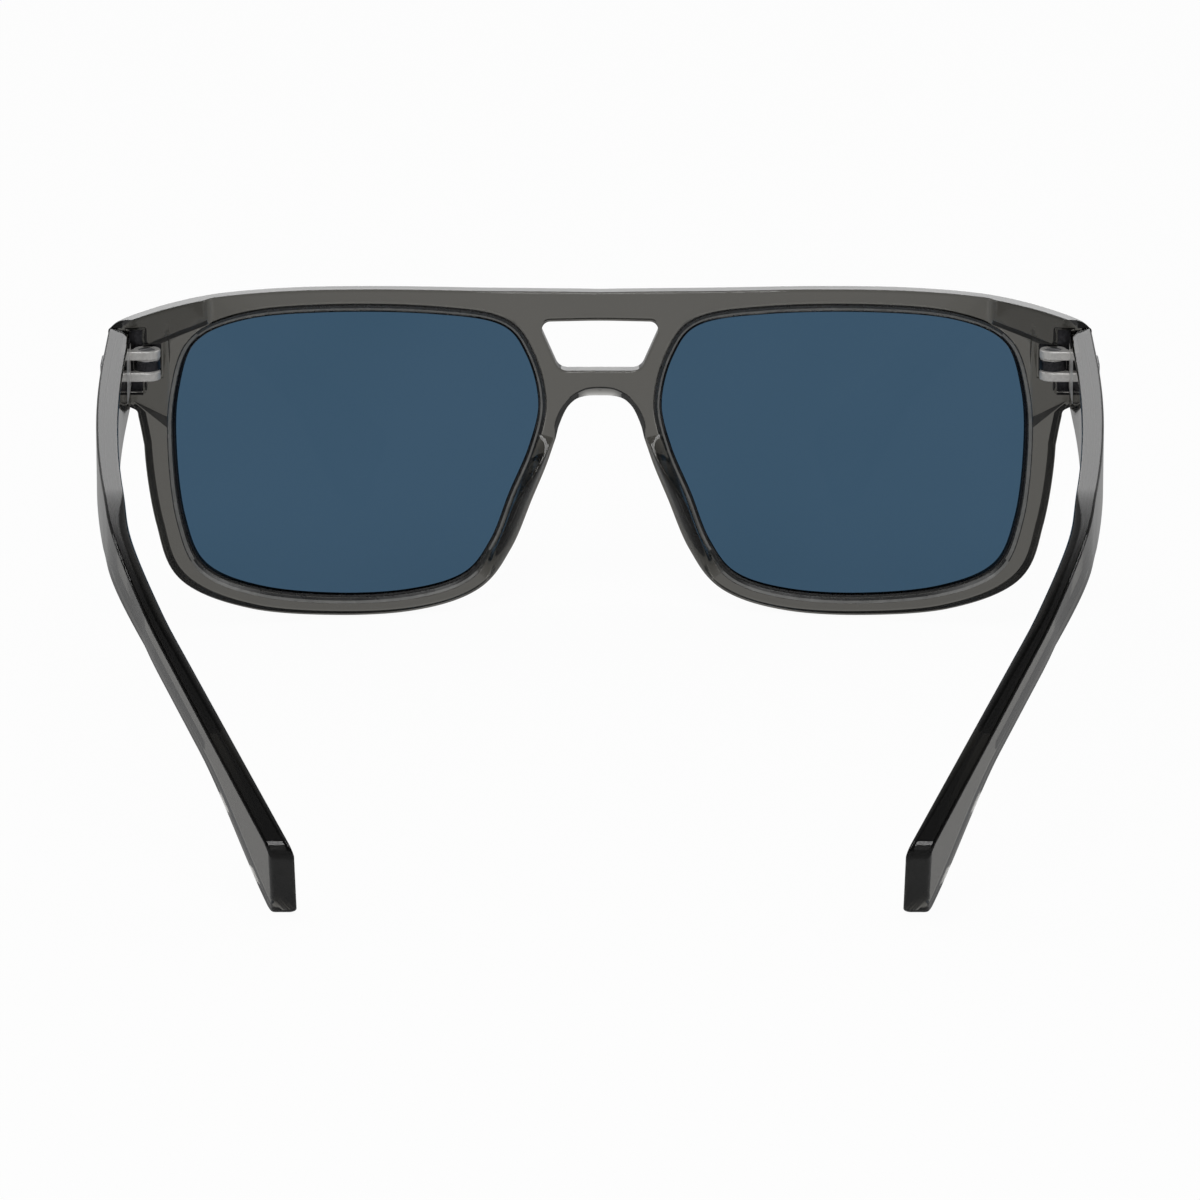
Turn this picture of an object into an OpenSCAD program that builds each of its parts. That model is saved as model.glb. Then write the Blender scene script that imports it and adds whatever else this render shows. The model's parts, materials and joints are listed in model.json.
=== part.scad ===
// Rectangular double-bridge sunglasses, standing open on the rims and the temple tips.
// +X is the wearer's left, -Y is the way the wearer looks, +Z is up.
// Inside the model the front's own frame is x across, n towards the wearer and u up the face.

/* [Front] */
// Width over the two end-pieces
front_w = 139.6; // [137:0.2:142]
// Height of the front at the eyes, from the brow line to the rims' lowest edge
front_h = 47.7; // [46:0.1:48.6]
// Thickness of the front at the rims
front_t = 4; // [3.6:0.1:4.6]
// Radius of the front's curve seen from above
front_r = 140; // [130:1:160]
// Radius of the outer corner where the front turns towards the temple
corner_r = 4; // [3:0.5:6]
// Lean of the front, top forward, in degrees
tilt = 5; // [3:0.5:7]
// Height of the brow above a lens opening
brow_h = 3.1; // [2.8:0.1:3.5]
// Rise of the brow line from the middle to above each eye
brow_arch = 1.3; // [0.6:0.1:1.6]

/* [Lenses] */
// Least distance between the two lens openings
lens_gap = 17.1; // [16.5:0.1:18]
// Distance of a lens opening from the outside of the end-piece
end_w = 8.8; // [8.5:0.1:9.3]
// Height of the lens openings' middle above the line about which the front leans
lens_mid = 1.3; // [0.8:0.1:1.8]
// Thickness of a lens
lens_t = 2; // [1.6:0.1:2.2]
// Depth of the lens groove into the rim
groove_depth = 0.9; // [0.6:0.1:1.2]
// Play of a lens in its groove, all round
lens_play = 0.05; // [0.02:0.01:0.1]

/* [Rims and bridge] */
// Width of a rim at the temple side
rim_side = 4.1; // [3.8:0.1:4.6]
// Width of a rim at the bottom
rim_bottom = 2.5; // [2:0.1:3]
// Width of a rim at the nose side
rim_nose = 3.1; // [2.8:0.1:3.4]
// Height of the upper bridge bar
top_bar_h = 4.3; // [3.8:0.1:4.8]
// Height of the lower bridge bar at its outer face
bar_h = 4.1; // [3.6:0.1:4.6]
// Height over which the nose arch under the lower bar rounds over
arch_h = 4; // [3.4:0.1:4.8]
// Width of the bevel that the arch has towards the rear, in the middle
arch_bevel = 1.65; // [1:0.05:2]
// Height of the window between the two bridge bars
window_h = 7.1; // [6.6:0.1:7.6]
// Width of the window at its upper corners
window_w = 18; // [17:0.1:18.6]
// Width of the window at its lower corners
window_low_w = 11.7; // [10.8:0.1:12.6]
// Radius of the window's upper corners
window_r = 1.2; // [0.8:0.1:1.6]
// Radius of the window's lower corners
window_low_r = 1.8; // [1:0.1:2.2]
// Rise of the window's upper edge in the middle
window_arch = 0.15; // [0.1:0.05:0.3]

/* [Nose pads] */
// Height of a nose pad's crest behind the front
pad_h = 3.6; // [2.4:0.1:4.4]
// Depth to which a nose pad is let into the front
pad_sink = 0.3; // [0.2:0.05:0.4]
// Distance of a nose pad's seat from both edges of the rim
pad_edge = 0.3; // [0.2:0.05:0.5]
// Glue gap of a nose pad in its seat
pad_play = 0.02; // [0.01:0.01:0.05]

/* [End-pieces] */
// Length of the end-piece from the front's outer face back to the joint
end_l = 3.4; // [3:0.1:4]
// Radius of the end-piece's lower corner
end_r = 1.4; // [1:0.1:2]
// Depth of the temples' top edge below the middle of the brow line
end_drop = 1; // [0.8:0.1:1.4]
// Extra thickness of the brow above the hinge
brow_step = 1.1; // [0.6:0.1:1.4]
// Length of this thick end of the brow beyond the hinge flat
thick_l = 5.5; // [4.6:0.1:6.4]
// Height of the thick end where it starts
thick_h = 2.4; // [2:0.1:3]
// How much further its lower edge has fallen at the outside
thick_fall = 4.9; // [4:0.1:5.4]
// Extra thickness of the flat round the hinge
flat_step = 0.5; // [0.3:0.1:0.5]
// Distance of the hinge flat's inner edge from the end-piece's outside
flat_w = 8.4; // [8:0.1:8.8]
// Depth to which the flat runs out below the end-piece, along the rim
flat_tail = 2.2; // [1.6:0.1:2.8]

/* [Temples] */
// Thickness of a temple at the joint
temple_t = 3.2; // [3:0.1:3.4]
// Thickness of a temple at the bend
neck_t = 2.7; // [2.6:0.1:3.2]
// Thickness of a temple at its end face
tip_t = 3; // [2.8:0.1:3.4]
// Height of a temple at the joint
temple_h = 10.6; // [10.2:0.1:11.2]
// Height of a temple at the bend
neck_h = 8.6; // [8.2:0.1:10]
// How far the mitred joint runs forward to the outside
mitre = 2; // [1:0.1:2.4]
// Width of the joint line
joint_gap = 0.1; // [0.05:0.01:0.2]
// Length of the straight stretch
straight_l = 87.5; // [80:0.5:94]
// Radius of the ear bend, along the top edge
bend_r = 40.5; // [34:0.5:50]
// Angle of the ear bend
bend_a = 40; // [36:0.5:44]
// Radius of the outward bow seen from above
bow_r = 725; // [600:5:1000]
// Start of the bow behind the joint
bow_from = 16; // [14:1:24]
// Radius of the inward turn at the ear, along the temple's outer top edge seen from above
turn_r = 53.5; // [45:0.5:65]
// Angle to which that edge turns inward
turn_a = 31.3; // [24:0.1:33]
// Start of the inward turn behind the joint
turn_from = 95; // [90:1:99]
// Height of the temple's end face
tip_h = 15.6; // [13:0.1:16.4]
// Length over which the tip widens
flare_l = 21; // [15:0.5:24]
// Corner radius of the tip
tip_r = 1.8; // [1:0.1:2.4]

/* [Core wires] */
// Thickness of the flat wire
wire_t = 1; // [0.8:0.1:1.2]
// Height of the flat wire
wire_h = 2; // [1.6:0.1:2.4]
// Depth of the wire's upper edge below the temple's top
wire_down = 4.6; // [4:0.1:5]
// Distance at which the wire ends before the tip
wire_short = 21; // [18:1:26]
// Play of the wire in its slot, all round
wire_play = 0.03; // [0.02:0.01:0.05]

/* [Hinges] */
// Radius of the barrels
barrel_r = 1.95; // [1.8:0.05:2.05]
// Clearance between a barrel and what turns past it
barrel_gap = 0.3; // [0.3:0.05:0.4]
// Depth of the upper lug's top below the temple's top
hinge_down = 2.6; // [2.4:0.1:3]
// Thickness of each lug on the temple
lug_t = 1.25; // [1.1:0.05:1.4]
// Thickness of the front's middle knuckle
knuckle_t = 1.44; // [1.3:0.02:1.6]
// Thickness of a washer
washer_t = 0.15; // [0.1:0.01:0.2]
// Play on each side of a washer
washer_play = 0.03; // [0.02:0.01:0.05]
// Thickness of the plate let into the end-piece
front_plate_t = 1.1; // [0.9:0.1:1.2]
// Height of the plate let into the end-piece
front_plate_h = 9.4; // [8.6:0.1:9.8]
// Thickness of the plate let into the temple
temple_plate_t = 0.9; // [0.8:0.05:0.95]
// Height of the plate let into the temple
temple_plate_h = 6.4; // [5.6:0.1:7]
// Length of the plate let into the temple
temple_plate_l = 11; // [9:0.5:13]

/* [Hinge screws] */
// Radius of the screw's shank
screw_r = 0.6; // [0.55:0.01:0.65]
// Radius of the screw's head
head_r = 1.15; // [1.05:0.05:1.25]
// Height of the screw's head
head_h = 0.5; // [0.4:0.05:0.6]
// Radial clearance of the shank in the lugs
lug_play = 0.02; // [0.01:0.01:0.04]
// Radial clearance of the shank in the knuckle
knuckle_play = 0.05; // [0.03:0.01:0.08]
// Width of the driver slot
slot_w = 0.3; // [0.25:0.05:0.4]

/* [Plaques] */
// Length of the plain plate on each temple
plaque_l = 5.6; // [5:0.1:6.4]
// Height of the plate
plaque_h = 2.8; // [2.4:0.1:3.2]
// How far the plate stands proud
plaque_t = 0.5; // [0.3:0.05:0.6]
// Radius of the plate's two pins
plaque_pin_r = 0.4; // [0.3:0.05:0.5]
// Length of the pins in the temple
plaque_pin_l = 0.9; // [0.6:0.1:1]
// Distance of the plate's middle behind the joint
plaque_y = 10; // [9:0.5:13]
// Depth of the plate's middle below the temple's top
plaque_down = 3; // [2.6:0.1:4]

/* [Hidden] */
frame_grey = [0.36, 0.36, 0.35];
lens_blue = [0.2, 0.33, 0.45];
steel = [0.74, 0.74, 0.76];
gunmetal = [0.35, 0.35, 0.37];
// Facets of round pins, bores and barrels, and of the wide curves of the front
round_fn = 48;
wide_fn = 360;
// Margin by which a cutting tool runs past what it cuts
past = 1;
// Half the height of the upright tools that cut through the whole front
tall = 60;
// Depth that holds the whole curved front, from its foremost plane backwards
front_depth = 32;
// Points computed between two control points of a curve
curve_steps = 5;

// Lens outline in shares of half its width and height, from nose side top, over the temple side
lens_shape = [
    [-0.784, 0.876], [-0.408, 0.961], [0.162, 0.999], [0.616, 0.976], [0.885, 0.837], [0.983, 0.5],
    [0.997, 0.099], [0.953, -0.38], [0.836, -0.724], [0.531, -0.912], [0.104, -0.993], [-0.292, -0.983],
    [-0.582, -0.879], [-0.733, -0.647], [-0.836, -0.323], [-0.947, 0.004], [-1, 0.319], [-0.934, 0.654]
];
// How the rim's width swells and thins at the outline's control points 5 to 15
rim_share = [0.99, 0.95, 0.87, 0.98, 1.04, 0.99, 1, 0.965, 0.94, 1, 0.95];
rim_from = 5;
// Stretch of the outline that carries the rim alone, counted in control points
rim_first = 5.85;
rim_last = 15;

function lerp(a, b, t) = a + (b - a) * t;
function smooth(t) = t * t * (3 - 2 * t);
function hyp(v) = sqrt(v[0] * v[0] + v[1] * v[1]);
function unit(v) = v / hyp(v);
function flip(pts) = [for (i = [len(pts) - 1 : -1 : 0]) pts[i]];

// Point of a Catmull-Rom curve through four points, and a whole open curve through a list
function spline_at(a, b, c, d, t) =
    0.5 * (2 * b + (c - a) * t + (2 * a - 5 * b + 4 * c - d) * t * t + (3 * b - a - 3 * c + d) * t * t * t);
function open_curve(p, steps) = [
    for (i = [0 : len(p) - 2]) for (k = [0 : steps - 1])
        spline_at(p[max(i - 1, 0)], p[i], p[i + 1], p[min(i + 2, len(p) - 1)], k / steps),
    p[len(p) - 1]
];

// Sizes of a lens opening, and heights from its upper edge to the top of the brow and the temples
lens_w = (front_w - lens_gap) / 2 - end_w;
lens_h = front_h - brow_h - rim_bottom;
brow_mid = lens_mid + lens_h / 2 + brow_h - brow_arch;
temple_top = brow_mid - end_drop;

// Lens opening: point, outward direction and offset curve at a place s counted in control points
lens_x = lens_gap / 2 + lens_w / 2;
function lens_ctrl(i) = let (q = lens_shape[(i + len(lens_shape)) % len(lens_shape)])
    [lens_x + q[0] * lens_w / 2, lens_mid + q[1] * lens_h / 2];
function lens_at(s) = let (i = floor(s))
    spline_at(lens_ctrl(i - 1), lens_ctrl(i), lens_ctrl(i + 1), lens_ctrl(i + 2), s - i);
function lens_out(s) = let (d = unit(lens_at(s + 0.01) - lens_at(s - 0.01))) [-d[1], d[0]];
function share_at(i) = rim_share[min(max(i - rim_from, 0), len(rim_share) - 1)];
function rim_width(s) = let (i = floor(s), v = lens_out(s))
    (v[0] * v[0] * (v[0] > 0 ? rim_side : rim_nose) + v[1] * v[1] * rim_bottom)
    * spline_at(share_at(i - 1), share_at(i), share_at(i + 1), share_at(i + 2), s - i);
function lens_offset(s, d) = lens_at(s) + lens_out(s) * d;
function rim_at(s) = lens_offset(s, rim_width(s));
lens_places = [for (k = [0 : len(lens_shape) * curve_steps - 1]) k / curve_steps];
function lens_loop(d) = [for (s = lens_places) lens_offset(s, d)];

// Plan curves of the front's outer and inner face, and heights in the upright frame
function face_n(x, depth) = front_r - sqrt((front_r - depth) * (front_r - depth) - x * x);
function up_z(u, n) = u * cos(tilt) + n * sin(tilt);
half_w = front_w / 2;
temple_in = half_w - temple_t;
joint_y = face_n(half_w, 0) * cos(tilt) - temple_top * sin(tilt) + end_l;
joint_n = (joint_y + temple_top * sin(tilt)) / cos(tilt);
function joint_u(z) = (z - joint_n * sin(tilt)) / cos(tilt);
end_top = joint_u(temple_top);
end_low = joint_u(temple_top - temple_h);

// Outline of the half front: brow, end-piece, rim, nose arch. The arch's points also hold the width
// of its bevel there, as a share of the width in the middle
brow_ctrl = [
    [0, brow_mid], [0.23 * half_w, brow_mid + 0.25 * brow_arch],
    [0.458 * half_w, brow_mid + 0.75 * brow_arch], [0.63 * half_w, brow_mid + brow_arch],
    [0.774 * half_w, brow_mid + 0.82 * brow_arch],
    [0.867 * half_w, brow_mid + 0.18 * brow_arch], [0.943 * half_w, lerp(end_top, brow_mid, 0.65)],
    [0.983 * half_w, lerp(end_top, brow_mid, 0.31)], [half_w, end_top]
];
end_ctrl = [
    [half_w, end_low + 0.85 * end_r], [half_w - 0.3 * end_r, end_low + 0.2 * end_r],
    [half_w - end_r, end_low], [half_w - 2.65 * end_r, end_low - 0.6 * end_r],
    [half_w - 3 * end_r, end_low - 1.6 * end_r], rim_at(rim_first)
];
rim_points = [for (k = [1 : 46]) rim_at(lerp(rim_first, rim_last, k / 46))];
window_top = brow_mid - top_bar_h;
window_low = window_top - window_h;
arch_u = window_low - bar_h;
arch_w = lens_gap / 2;
arch_foot = rim_at(rim_last);
arch_side = [0.676 * arch_w, arch_u - arch_h];
arch_mid = (arch_foot + arch_side) / 2;
arch_ctrl = [
    [arch_foot[0], arch_foot[1], 0], [arch_mid[0], arch_mid[1], 0], [arch_side[0], arch_side[1], 0.45],
    [0.59 * arch_w, arch_u - 0.58 * arch_h, 0.54],
    [0.506 * arch_w, arch_u - 0.32 * arch_h, 0.55], [0.38 * arch_w, arch_u - 0.11 * arch_h, 0.7],
    [0.2 * arch_w, arch_u - 0.012 * arch_h, 0.93], [0, arch_u, 1]
];
arch = open_curve(arch_ctrl, 3);
arch_last = len(arch) - 1;
half_outline = concat(
    open_curve(brow_ctrl, curve_steps), open_curve(end_ctrl, 3), rim_points,
    [for (i = [1 : arch_last]) [arch[i][0], arch[i][1]]]
);
// The two points on the middle line belong to both halves, so the mirrored half leaves them out
front_outline = concat(half_outline, [
    for (i = [len(half_outline) - 2 : -1 : 1]) [-half_outline[i][0], half_outline[i][1]]
]);

// The model stands on the lowest points of the rims, and the tips are as long as that asks
rim_floor = min([for (p = half_outline) up_z(p[1], face_n(p[0], 0))]);
ear_l = (temple_top - bend_r * (1 - cos(bend_a)) - tip_h * cos(bend_a) - rim_floor
    + tip_r * (cos(bend_a) + sin(bend_a) - 1)) / sin(bend_a);
bend_l = bend_r * bend_a * PI / 180;
turn_start = joint_y + turn_from;
bow_start = joint_y + bow_from;
tip_y = joint_y + straight_l + bend_r * sin(bend_a) + ear_l * cos(bend_a);
front_y = -brow_mid * sin(tilt);
mid_y = (front_y + tip_y) / 2;

// Hinge axis and the heights of its parts
axis_x = temple_in - barrel_gap - barrel_r;
axis_y = joint_y;
hinge_top = temple_top - hinge_down;
lug_gap = knuckle_t + 2 * washer_t + 4 * washer_play;
hinge_low = hinge_top - 2 * lug_t - lug_gap;
hinge_mid = (hinge_top + hinge_low) / 2;
plate_back = axis_y - barrel_r - barrel_gap;

module stand() {
    translate([0, -mid_y, -rim_floor]) children();
}

module on_side(side) {
    if (side > 0) children();
    else mirror([1, 0, 0]) children();
}

// A flat outline in x and u, run through the front's depth from n0 to n1
module through(pts, n0, n1) {
    translate([0, n1, 0]) rotate([90, 0, 0]) linear_extrude(height = n1 - n0) polygon(pts);
}

// The curved sheet between two depths behind the front's outer face
module sheet(from, to) {
    translate([0, front_r, -tall]) difference() {
        cylinder(r = front_r - from, h = 2 * tall, $fn = wide_fn);
        translate([0, 0, -past]) cylinder(r = front_r - to, h = 2 * (tall + past), $fn = wide_fn);
    }
}

module curved(pts, from, to) {
    intersection() {
        sheet(from, to);
        through(pts, -past, front_depth);
    }
}

// Outline with rounded corners, from points that each hold x, y and their own corner radius
function rounded(pts, steps) = [
    for (i = [0 : len(pts) - 1])
        let (
            m = len(pts),
            p = [pts[i][0], pts[i][1]],
            a = unit([pts[(i + m - 1) % m][0], pts[(i + m - 1) % m][1]] - p),
            b = unit([pts[(i + 1) % m][0], pts[(i + 1) % m][1]] - p),
            r = pts[i][2],
            half = acos(a * b) / 2,
            mid = p + unit(a + b) * r / sin(half),
            start = p + a * r / tan(half) - mid,
            turn = a[0] * b[1] - a[1] * b[0] > 0 ? -1 : 1
        )
        for (k = [0 : steps])
            let (g = turn * (180 - 2 * half) * k / steps)
            mid + [start[0] * cos(g) - start[1] * sin(g), start[0] * sin(g) + start[1] * cos(g)]
];

// The upper edge is one wide arc, so its middle point gets that arc's radius
window_x0 = window_low_w / 2;
window_x1 = window_w / 2;
arc_r = (window_x1 * window_x1 / window_arch + window_arch) / 4;
window_outline = rounded([
    [-window_x1, window_top, window_r], [0, window_top + window_arch, arc_r],
    [window_x1, window_top, window_r], [window_x0, window_low, window_low_r],
    [-window_x0, window_low, window_low_r]
], 5);

// Rear steps of the end-piece: the brow's thick end, and the flat that carries the hinge
step_x = half_w - flat_w;
thick_low = brow_mid - thick_h;
brow_end = [
    [step_x - thick_l, thick_low], [half_w + past, thick_low - thick_fall],
    [half_w + past, brow_mid + 2 * brow_arch], [step_x - thick_l, brow_mid + 2 * brow_arch]
];
hinge_flat = [
    [step_x, end_low - flat_tail], [half_w - 2.5 * end_r, end_low + 0.35 * end_r],
    [half_w + past, end_low + 0.35 * end_r], [half_w + past, brow_mid], [step_x, brow_mid]
];

module end_thick() {
    intersection() {
        union() {
            curved(brow_end, front_t - past, front_t + brow_step);
            curved(hinge_flat, front_t - past, front_t + flat_step);
        }
        through(front_outline, -past, front_depth);
        difference() {
            translate([0, -past, -tall]) cube([half_w, front_depth + past, 2 * tall]);
            through(lens_loop(0), -2 * past, front_depth + past);
        }
    }
}

// Wedge that takes the outer corner of the front off to a round; the round meets the outer face
// where a line from the front's centre through the round's centre does
module corner_cut() {
    cx = half_w - corner_r;
    cn = face_n(cx, corner_r);
    deep = 3 * corner_r;
    difference() {
        translate([cx, cn - deep, -tall]) cube([corner_r + past, deep, 2 * tall]);
        translate([cx, cn, -tall - past]) cylinder(r = corner_r, h = 2 * (tall + past), $fn = round_fn);
        translate([cx - past, cn - deep - past, -tall - past])
            cube([cx * corner_r / (front_r - corner_r) + past, deep + 2 * past, 2 * (tall + past)]);
    }
}

// Everything behind the mitred joint line, seen from above in the upright frame
function joint_line(x) = joint_y + (temple_in - x) * mitre / temple_t;
cut_run = 9;
module behind_joint() {
    x0 = temple_in - flat_w;
    x1 = half_w + past;
    translate([0, 0, -tall]) linear_extrude(height = 2 * tall) polygon([
        [x0, joint_line(x0) - joint_gap], [x1, joint_line(x1) - joint_gap],
        [x1, joint_y + cut_run], [x0, joint_y + cut_run]
    ]);
}

// Plate let into the end-piece, with the pockets for the barrels and for the plate's wings
plate_under = 0.4;
wing_in = 0.6;
plate_x0 = axis_x - barrel_r;
plate_x1 = temple_in + plate_under;
module front_plate() {
    translate([plate_x0, plate_back - front_plate_t, hinge_mid - front_plate_h / 2])
        cube([plate_x1 - plate_x0, front_plate_t, front_plate_h]);
}

module hinge_pocket() {
    pocket_h = hinge_top - hinge_low + 2 * barrel_gap;
    pocket_in = barrel_r + barrel_gap;
    front_plate();
    translate([axis_x + wing_in, plate_back, hinge_mid - front_plate_h / 2])
        cube([plate_x1 - axis_x - wing_in, cut_run, front_plate_h]);
    translate([axis_x - pocket_in, plate_back, hinge_mid - pocket_h / 2])
        cube([plate_x1 - axis_x + pocket_in, cut_run, pocket_h]);
}

// Bevel of the nose arch: it starts from a narrow land at the outer face, and its cut stays a little
// off the wall below it
arch_land = 0.3;
arch_clear = 0.02;
function arch_ring(n) =
    let (
        run = arch_bevel * (n - arch_land) / (front_t - arch_land),
        half = [
            for (i = [0 : arch_last])
                let (d = i < arch_last ? arch[i + 1] - arch[max(i - 1, 0)] : [-1, 0, 0])
                [arch[i][0], arch[i][1]] + unit([d[1], -d[0]]) * (arch[i][2] * run - arch_clear)
        ]
    )
    [
        [0, n, half[0][1]], for (p = half) [-p[0], n, p[1]],
        for (i = [arch_last - 1 : -1 : 0]) [half[i][0], n, half[i][1]]
    ];

module front_frame() {
    groove_mid = front_t / 2;
    groove_t = lens_t + 2 * lens_play;
    color(frame_grey) stand() difference() {
        rotate([tilt, 0, 0]) difference() {
            union() {
                curved(front_outline, 0, front_t);
                end_thick();
                mirror([1, 0, 0]) end_thick();
            }
            for (side = [1, -1]) on_side(side) {
                through(lens_loop(0), -2 * past, front_depth + past);
                curved(lens_loop(groove_depth), groove_mid - groove_t / 2, groove_mid + groove_t / 2);
                curved(pad_seat, front_t - pad_sink - pad_play, front_t + past);
                corner_cut();
            }
            through(window_outline, -2 * past, front_depth + past);
            skin([arch_ring(-past), arch_ring(front_t + past)]);
        }
        for (side = [1, -1]) on_side(side) {
            behind_joint();
            hinge_pocket();
        }
    }
}

module lens(side) {
    color(lens_blue) stand() rotate([tilt, 0, 0]) on_side(side)
        curved(lens_loop(groove_depth - lens_play), front_t / 2 - lens_t / 2, front_t / 2 + lens_t / 2);
}

// Nose pad: a ridge swept down the nose side of the rim, its crest near the nose at both ends
pad_first = 15.35;
pad_last = 12.3;
pad_stations = 18;
pad_end_h = 0.12;
function pad_w(s) = rim_width(s) - 2 * pad_edge;
function pad_side(s, share, play) =
    lens_offset(s, pad_edge + share * pad_w(s) + (share > 0 ? play : -play));
pad_places = [for (k = [0 : pad_stations]) lerp(pad_first, pad_last, k / pad_stations)];
pad_seat = concat(
    [for (s = pad_places) pad_side(s, 1, pad_play)], [for (s = flip(pad_places)) pad_side(s, 0, pad_play)]
);
function crest(t) =
    t < 0.5 ? lerp(0.9, 0.13, smooth(t / 0.5)) : lerp(0.13, 0.85, pow(max(t - 0.7, 0) / 0.3, 1.7));
function pad_ring(k) =
    let (
        t = k / pad_stations,
        h = pad_end_h + (pad_h - pad_end_h) * pow(sin(180 * pow(t, 0.85)), 0.9),
        c = crest(t),
        prof = [
            [1, -pad_sink], [1, 0.1 * h], [lerp(c, 1, 0.75), 0.5 * h], [lerp(c, 1, 0.4), 0.83 * h],
            [lerp(c, 1, 0.12), 0.98 * h], [c * 0.92, 0.98 * h], [c * 0.6, 0.8 * h],
            [c * 0.2, 0.4 * h], [0, 0.1 * h], [0, -pad_sink]
        ]
    )
    [
        for (q = prof)
            let (p = pad_side(pad_places[k], q[0], 0))
            [p[0], face_n(p[0], front_t) + q[1], p[1]]
    ];

// Closed tube through a list of rings with equal counts of points
module skin(rings) {
    m = len(rings[0]);
    last = len(rings) - 1;
    polyhedron(
        points = [for (r = rings) each r],
        faces = concat(
            [for (i = [1 : m - 2]) [0, i, i + 1]],
            [for (i = [1 : m - 2]) [last * m, last * m + i + 1, last * m + i]],
            [for (j = [0 : last - 1]) for (i = [0 : m - 1])
                each [
                    [j * m + i, (j + 1) * m + i, (j + 1) * m + (i + 1) % m],
                    [j * m + i, (j + 1) * m + (i + 1) % m, j * m + (i + 1) % m]
                ]]
        )
    );
}

module nose_pad(side) {
    color(frame_grey) stand() rotate([tilt, 0, 0]) on_side(side)
        skin([for (k = [0 : pad_stations]) pad_ring(k)]);
}

// A temple is a bar swept along its outer top edge. At a run s behind the joint the edge has bent
// down by bend_at, and seen from above it has turned inward by turn_at
temple_l = straight_l + bend_l + ear_l;
turn_a0 = asin((turn_start - bow_start) / bow_r);
turn_end = turn_start + turn_r * (sin(turn_a) - sin(turn_a0));
function bend_at(s) = bend_a * min(max(s - straight_l, 0) / bend_l, 1);
function ear_run(s) = max(s - straight_l - bend_l, 0);
function edge_y(s) = joint_y + min(s, straight_l) + bend_r * sin(bend_at(s)) + ear_run(s) * cos(bend_a);
function edge_z(s) = temple_top - bend_r * (1 - cos(bend_at(s))) - ear_run(s) * sin(bend_a);
function turn_at(y) =
    y < turn_start ? asin(max(y - bow_start, 0) / bow_r)
        : asin(min(sin(turn_a0) + (y - turn_start) / turn_r, sin(turn_a)));
function edge_x(y) =
    half_w - bow_r * (1 - cos(turn_at(min(y, turn_start))))
    - turn_r * (cos(turn_a0) - cos(max(turn_at(y), turn_a0))) - max(y - turn_end, 0) * tan(turn_a);

// Point of the bar a inward from its outside and b below its top, and the ring round a section
function bar_point(s, a, b) =
    let (y = edge_y(s), g = bend_at(s), lean = tan(turn_at(y)) * cos(g))
    [edge_x(y) - a * sqrt(1 + lean * lean), y - b * sin(g), edge_z(s) - b * cos(g)];
function bar_ring(s, a0, a1, b0, b1) =
    [bar_point(s, a0, b0), bar_point(s, a0, b1), bar_point(s, a1, b1), bar_point(s, a1, b0)];

// Height and thickness of the bar
flare_start = temple_l - flare_l;
function bar_h(s) =
    s < straight_l ? lerp(temple_h, neck_h, s / straight_l)
        : lerp(neck_h, tip_h, smooth(max(s - flare_start, 0) / flare_l));
function bar_t(s) =
    s < straight_l + bend_l
        ? lerp(temple_t, neck_t, smooth(max(s - bow_from, 0) / (straight_l + bend_l - bow_from)))
        : lerp(neck_t, tip_t, ear_run(s) / ear_l);

// Runs at which the bar has a section, and the shorter ones towards the rounded end
bar_places = concat(
    [bow_from / 2, bow_from], [for (k = [1 : 8]) lerp(bow_from, straight_l, k / 8)],
    [for (k = [1 : 14]) straight_l + bend_l * k / 14],
    [for (k = [1 : 4]) lerp(straight_l + bend_l, flare_start, k / 4)],
    [for (k = [1 : 7]) lerp(flare_start, temple_l - tip_r, k / 7)]
);
tip_rings = [for (k = [1 : 5])
    let (g = 18 * k, s = temple_l - tip_r * (1 - sin(g)), b = tip_r * (1 - cos(g)))
    bar_ring(s, 0, bar_t(s), b, bar_h(s) - b)];
mitre_ring = [for (q = [[half_w, 0], [half_w, temple_h], [temple_in, temple_h], [temple_in, 0]])
    [q[0], joint_line(q[0]), temple_top - q[1]]];

// Plastic left between the wire and the hinge plate, and distance of both from the joint
wire_skin = 0.1;
set_back = 0.3;
wire_depth = temple_t - temple_plate_t - wire_skin - wire_t;
module wire_shape(from, play) {
    end = temple_l - wire_short + play;
    places = concat([from], [for (s = bar_places) if (s > from && s < end - past) s], [end]);
    skin([for (s = places) bar_ring(
        s, wire_depth - play, wire_depth + wire_t + play, wire_down - play, wire_down + wire_h + play
    )]);
}

module temple_plate() {
    translate([temple_in, joint_y + set_back, hinge_mid - temple_plate_h / 2])
        cube([temple_plate_t, temple_plate_l, temple_plate_h]);
}

plaque_mid = [half_w, joint_y + plaque_y, temple_top - plaque_down];
module plaque_pins() {
    for (dy = [-1, 1] * plaque_l / 4)
        translate(plaque_mid + [-plaque_pin_l, dy, 0]) rotate([0, 90, 0])
            cylinder(r = plaque_pin_r, h = plaque_pin_l, $fn = round_fn);
}

// The wire's slot runs out through the temple's front end
module temple(side) {
    color(frame_grey) stand() on_side(side) difference() {
        skin(concat([mitre_ring], [for (s = bar_places) bar_ring(s, 0, bar_t(s), 0, bar_h(s))], tip_rings));
        wire_shape(-mitre - past, wire_play);
        temple_plate();
        plaque_pins();
    }
}

module core_wire(side) {
    color(steel) stand() on_side(side) wire_shape(set_back, 0);
}

module lug(low) {
    translate([axis_x, axis_y, low]) {
        cylinder(r = barrel_r, h = lug_t, $fn = round_fn);
        cube([temple_in - axis_x, barrel_r, lug_t]);
    }
    translate([axis_x, joint_y + set_back, low])
        cube([temple_in - axis_x + temple_plate_t / 2, barrel_r - set_back, lug_t]);
}

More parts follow.
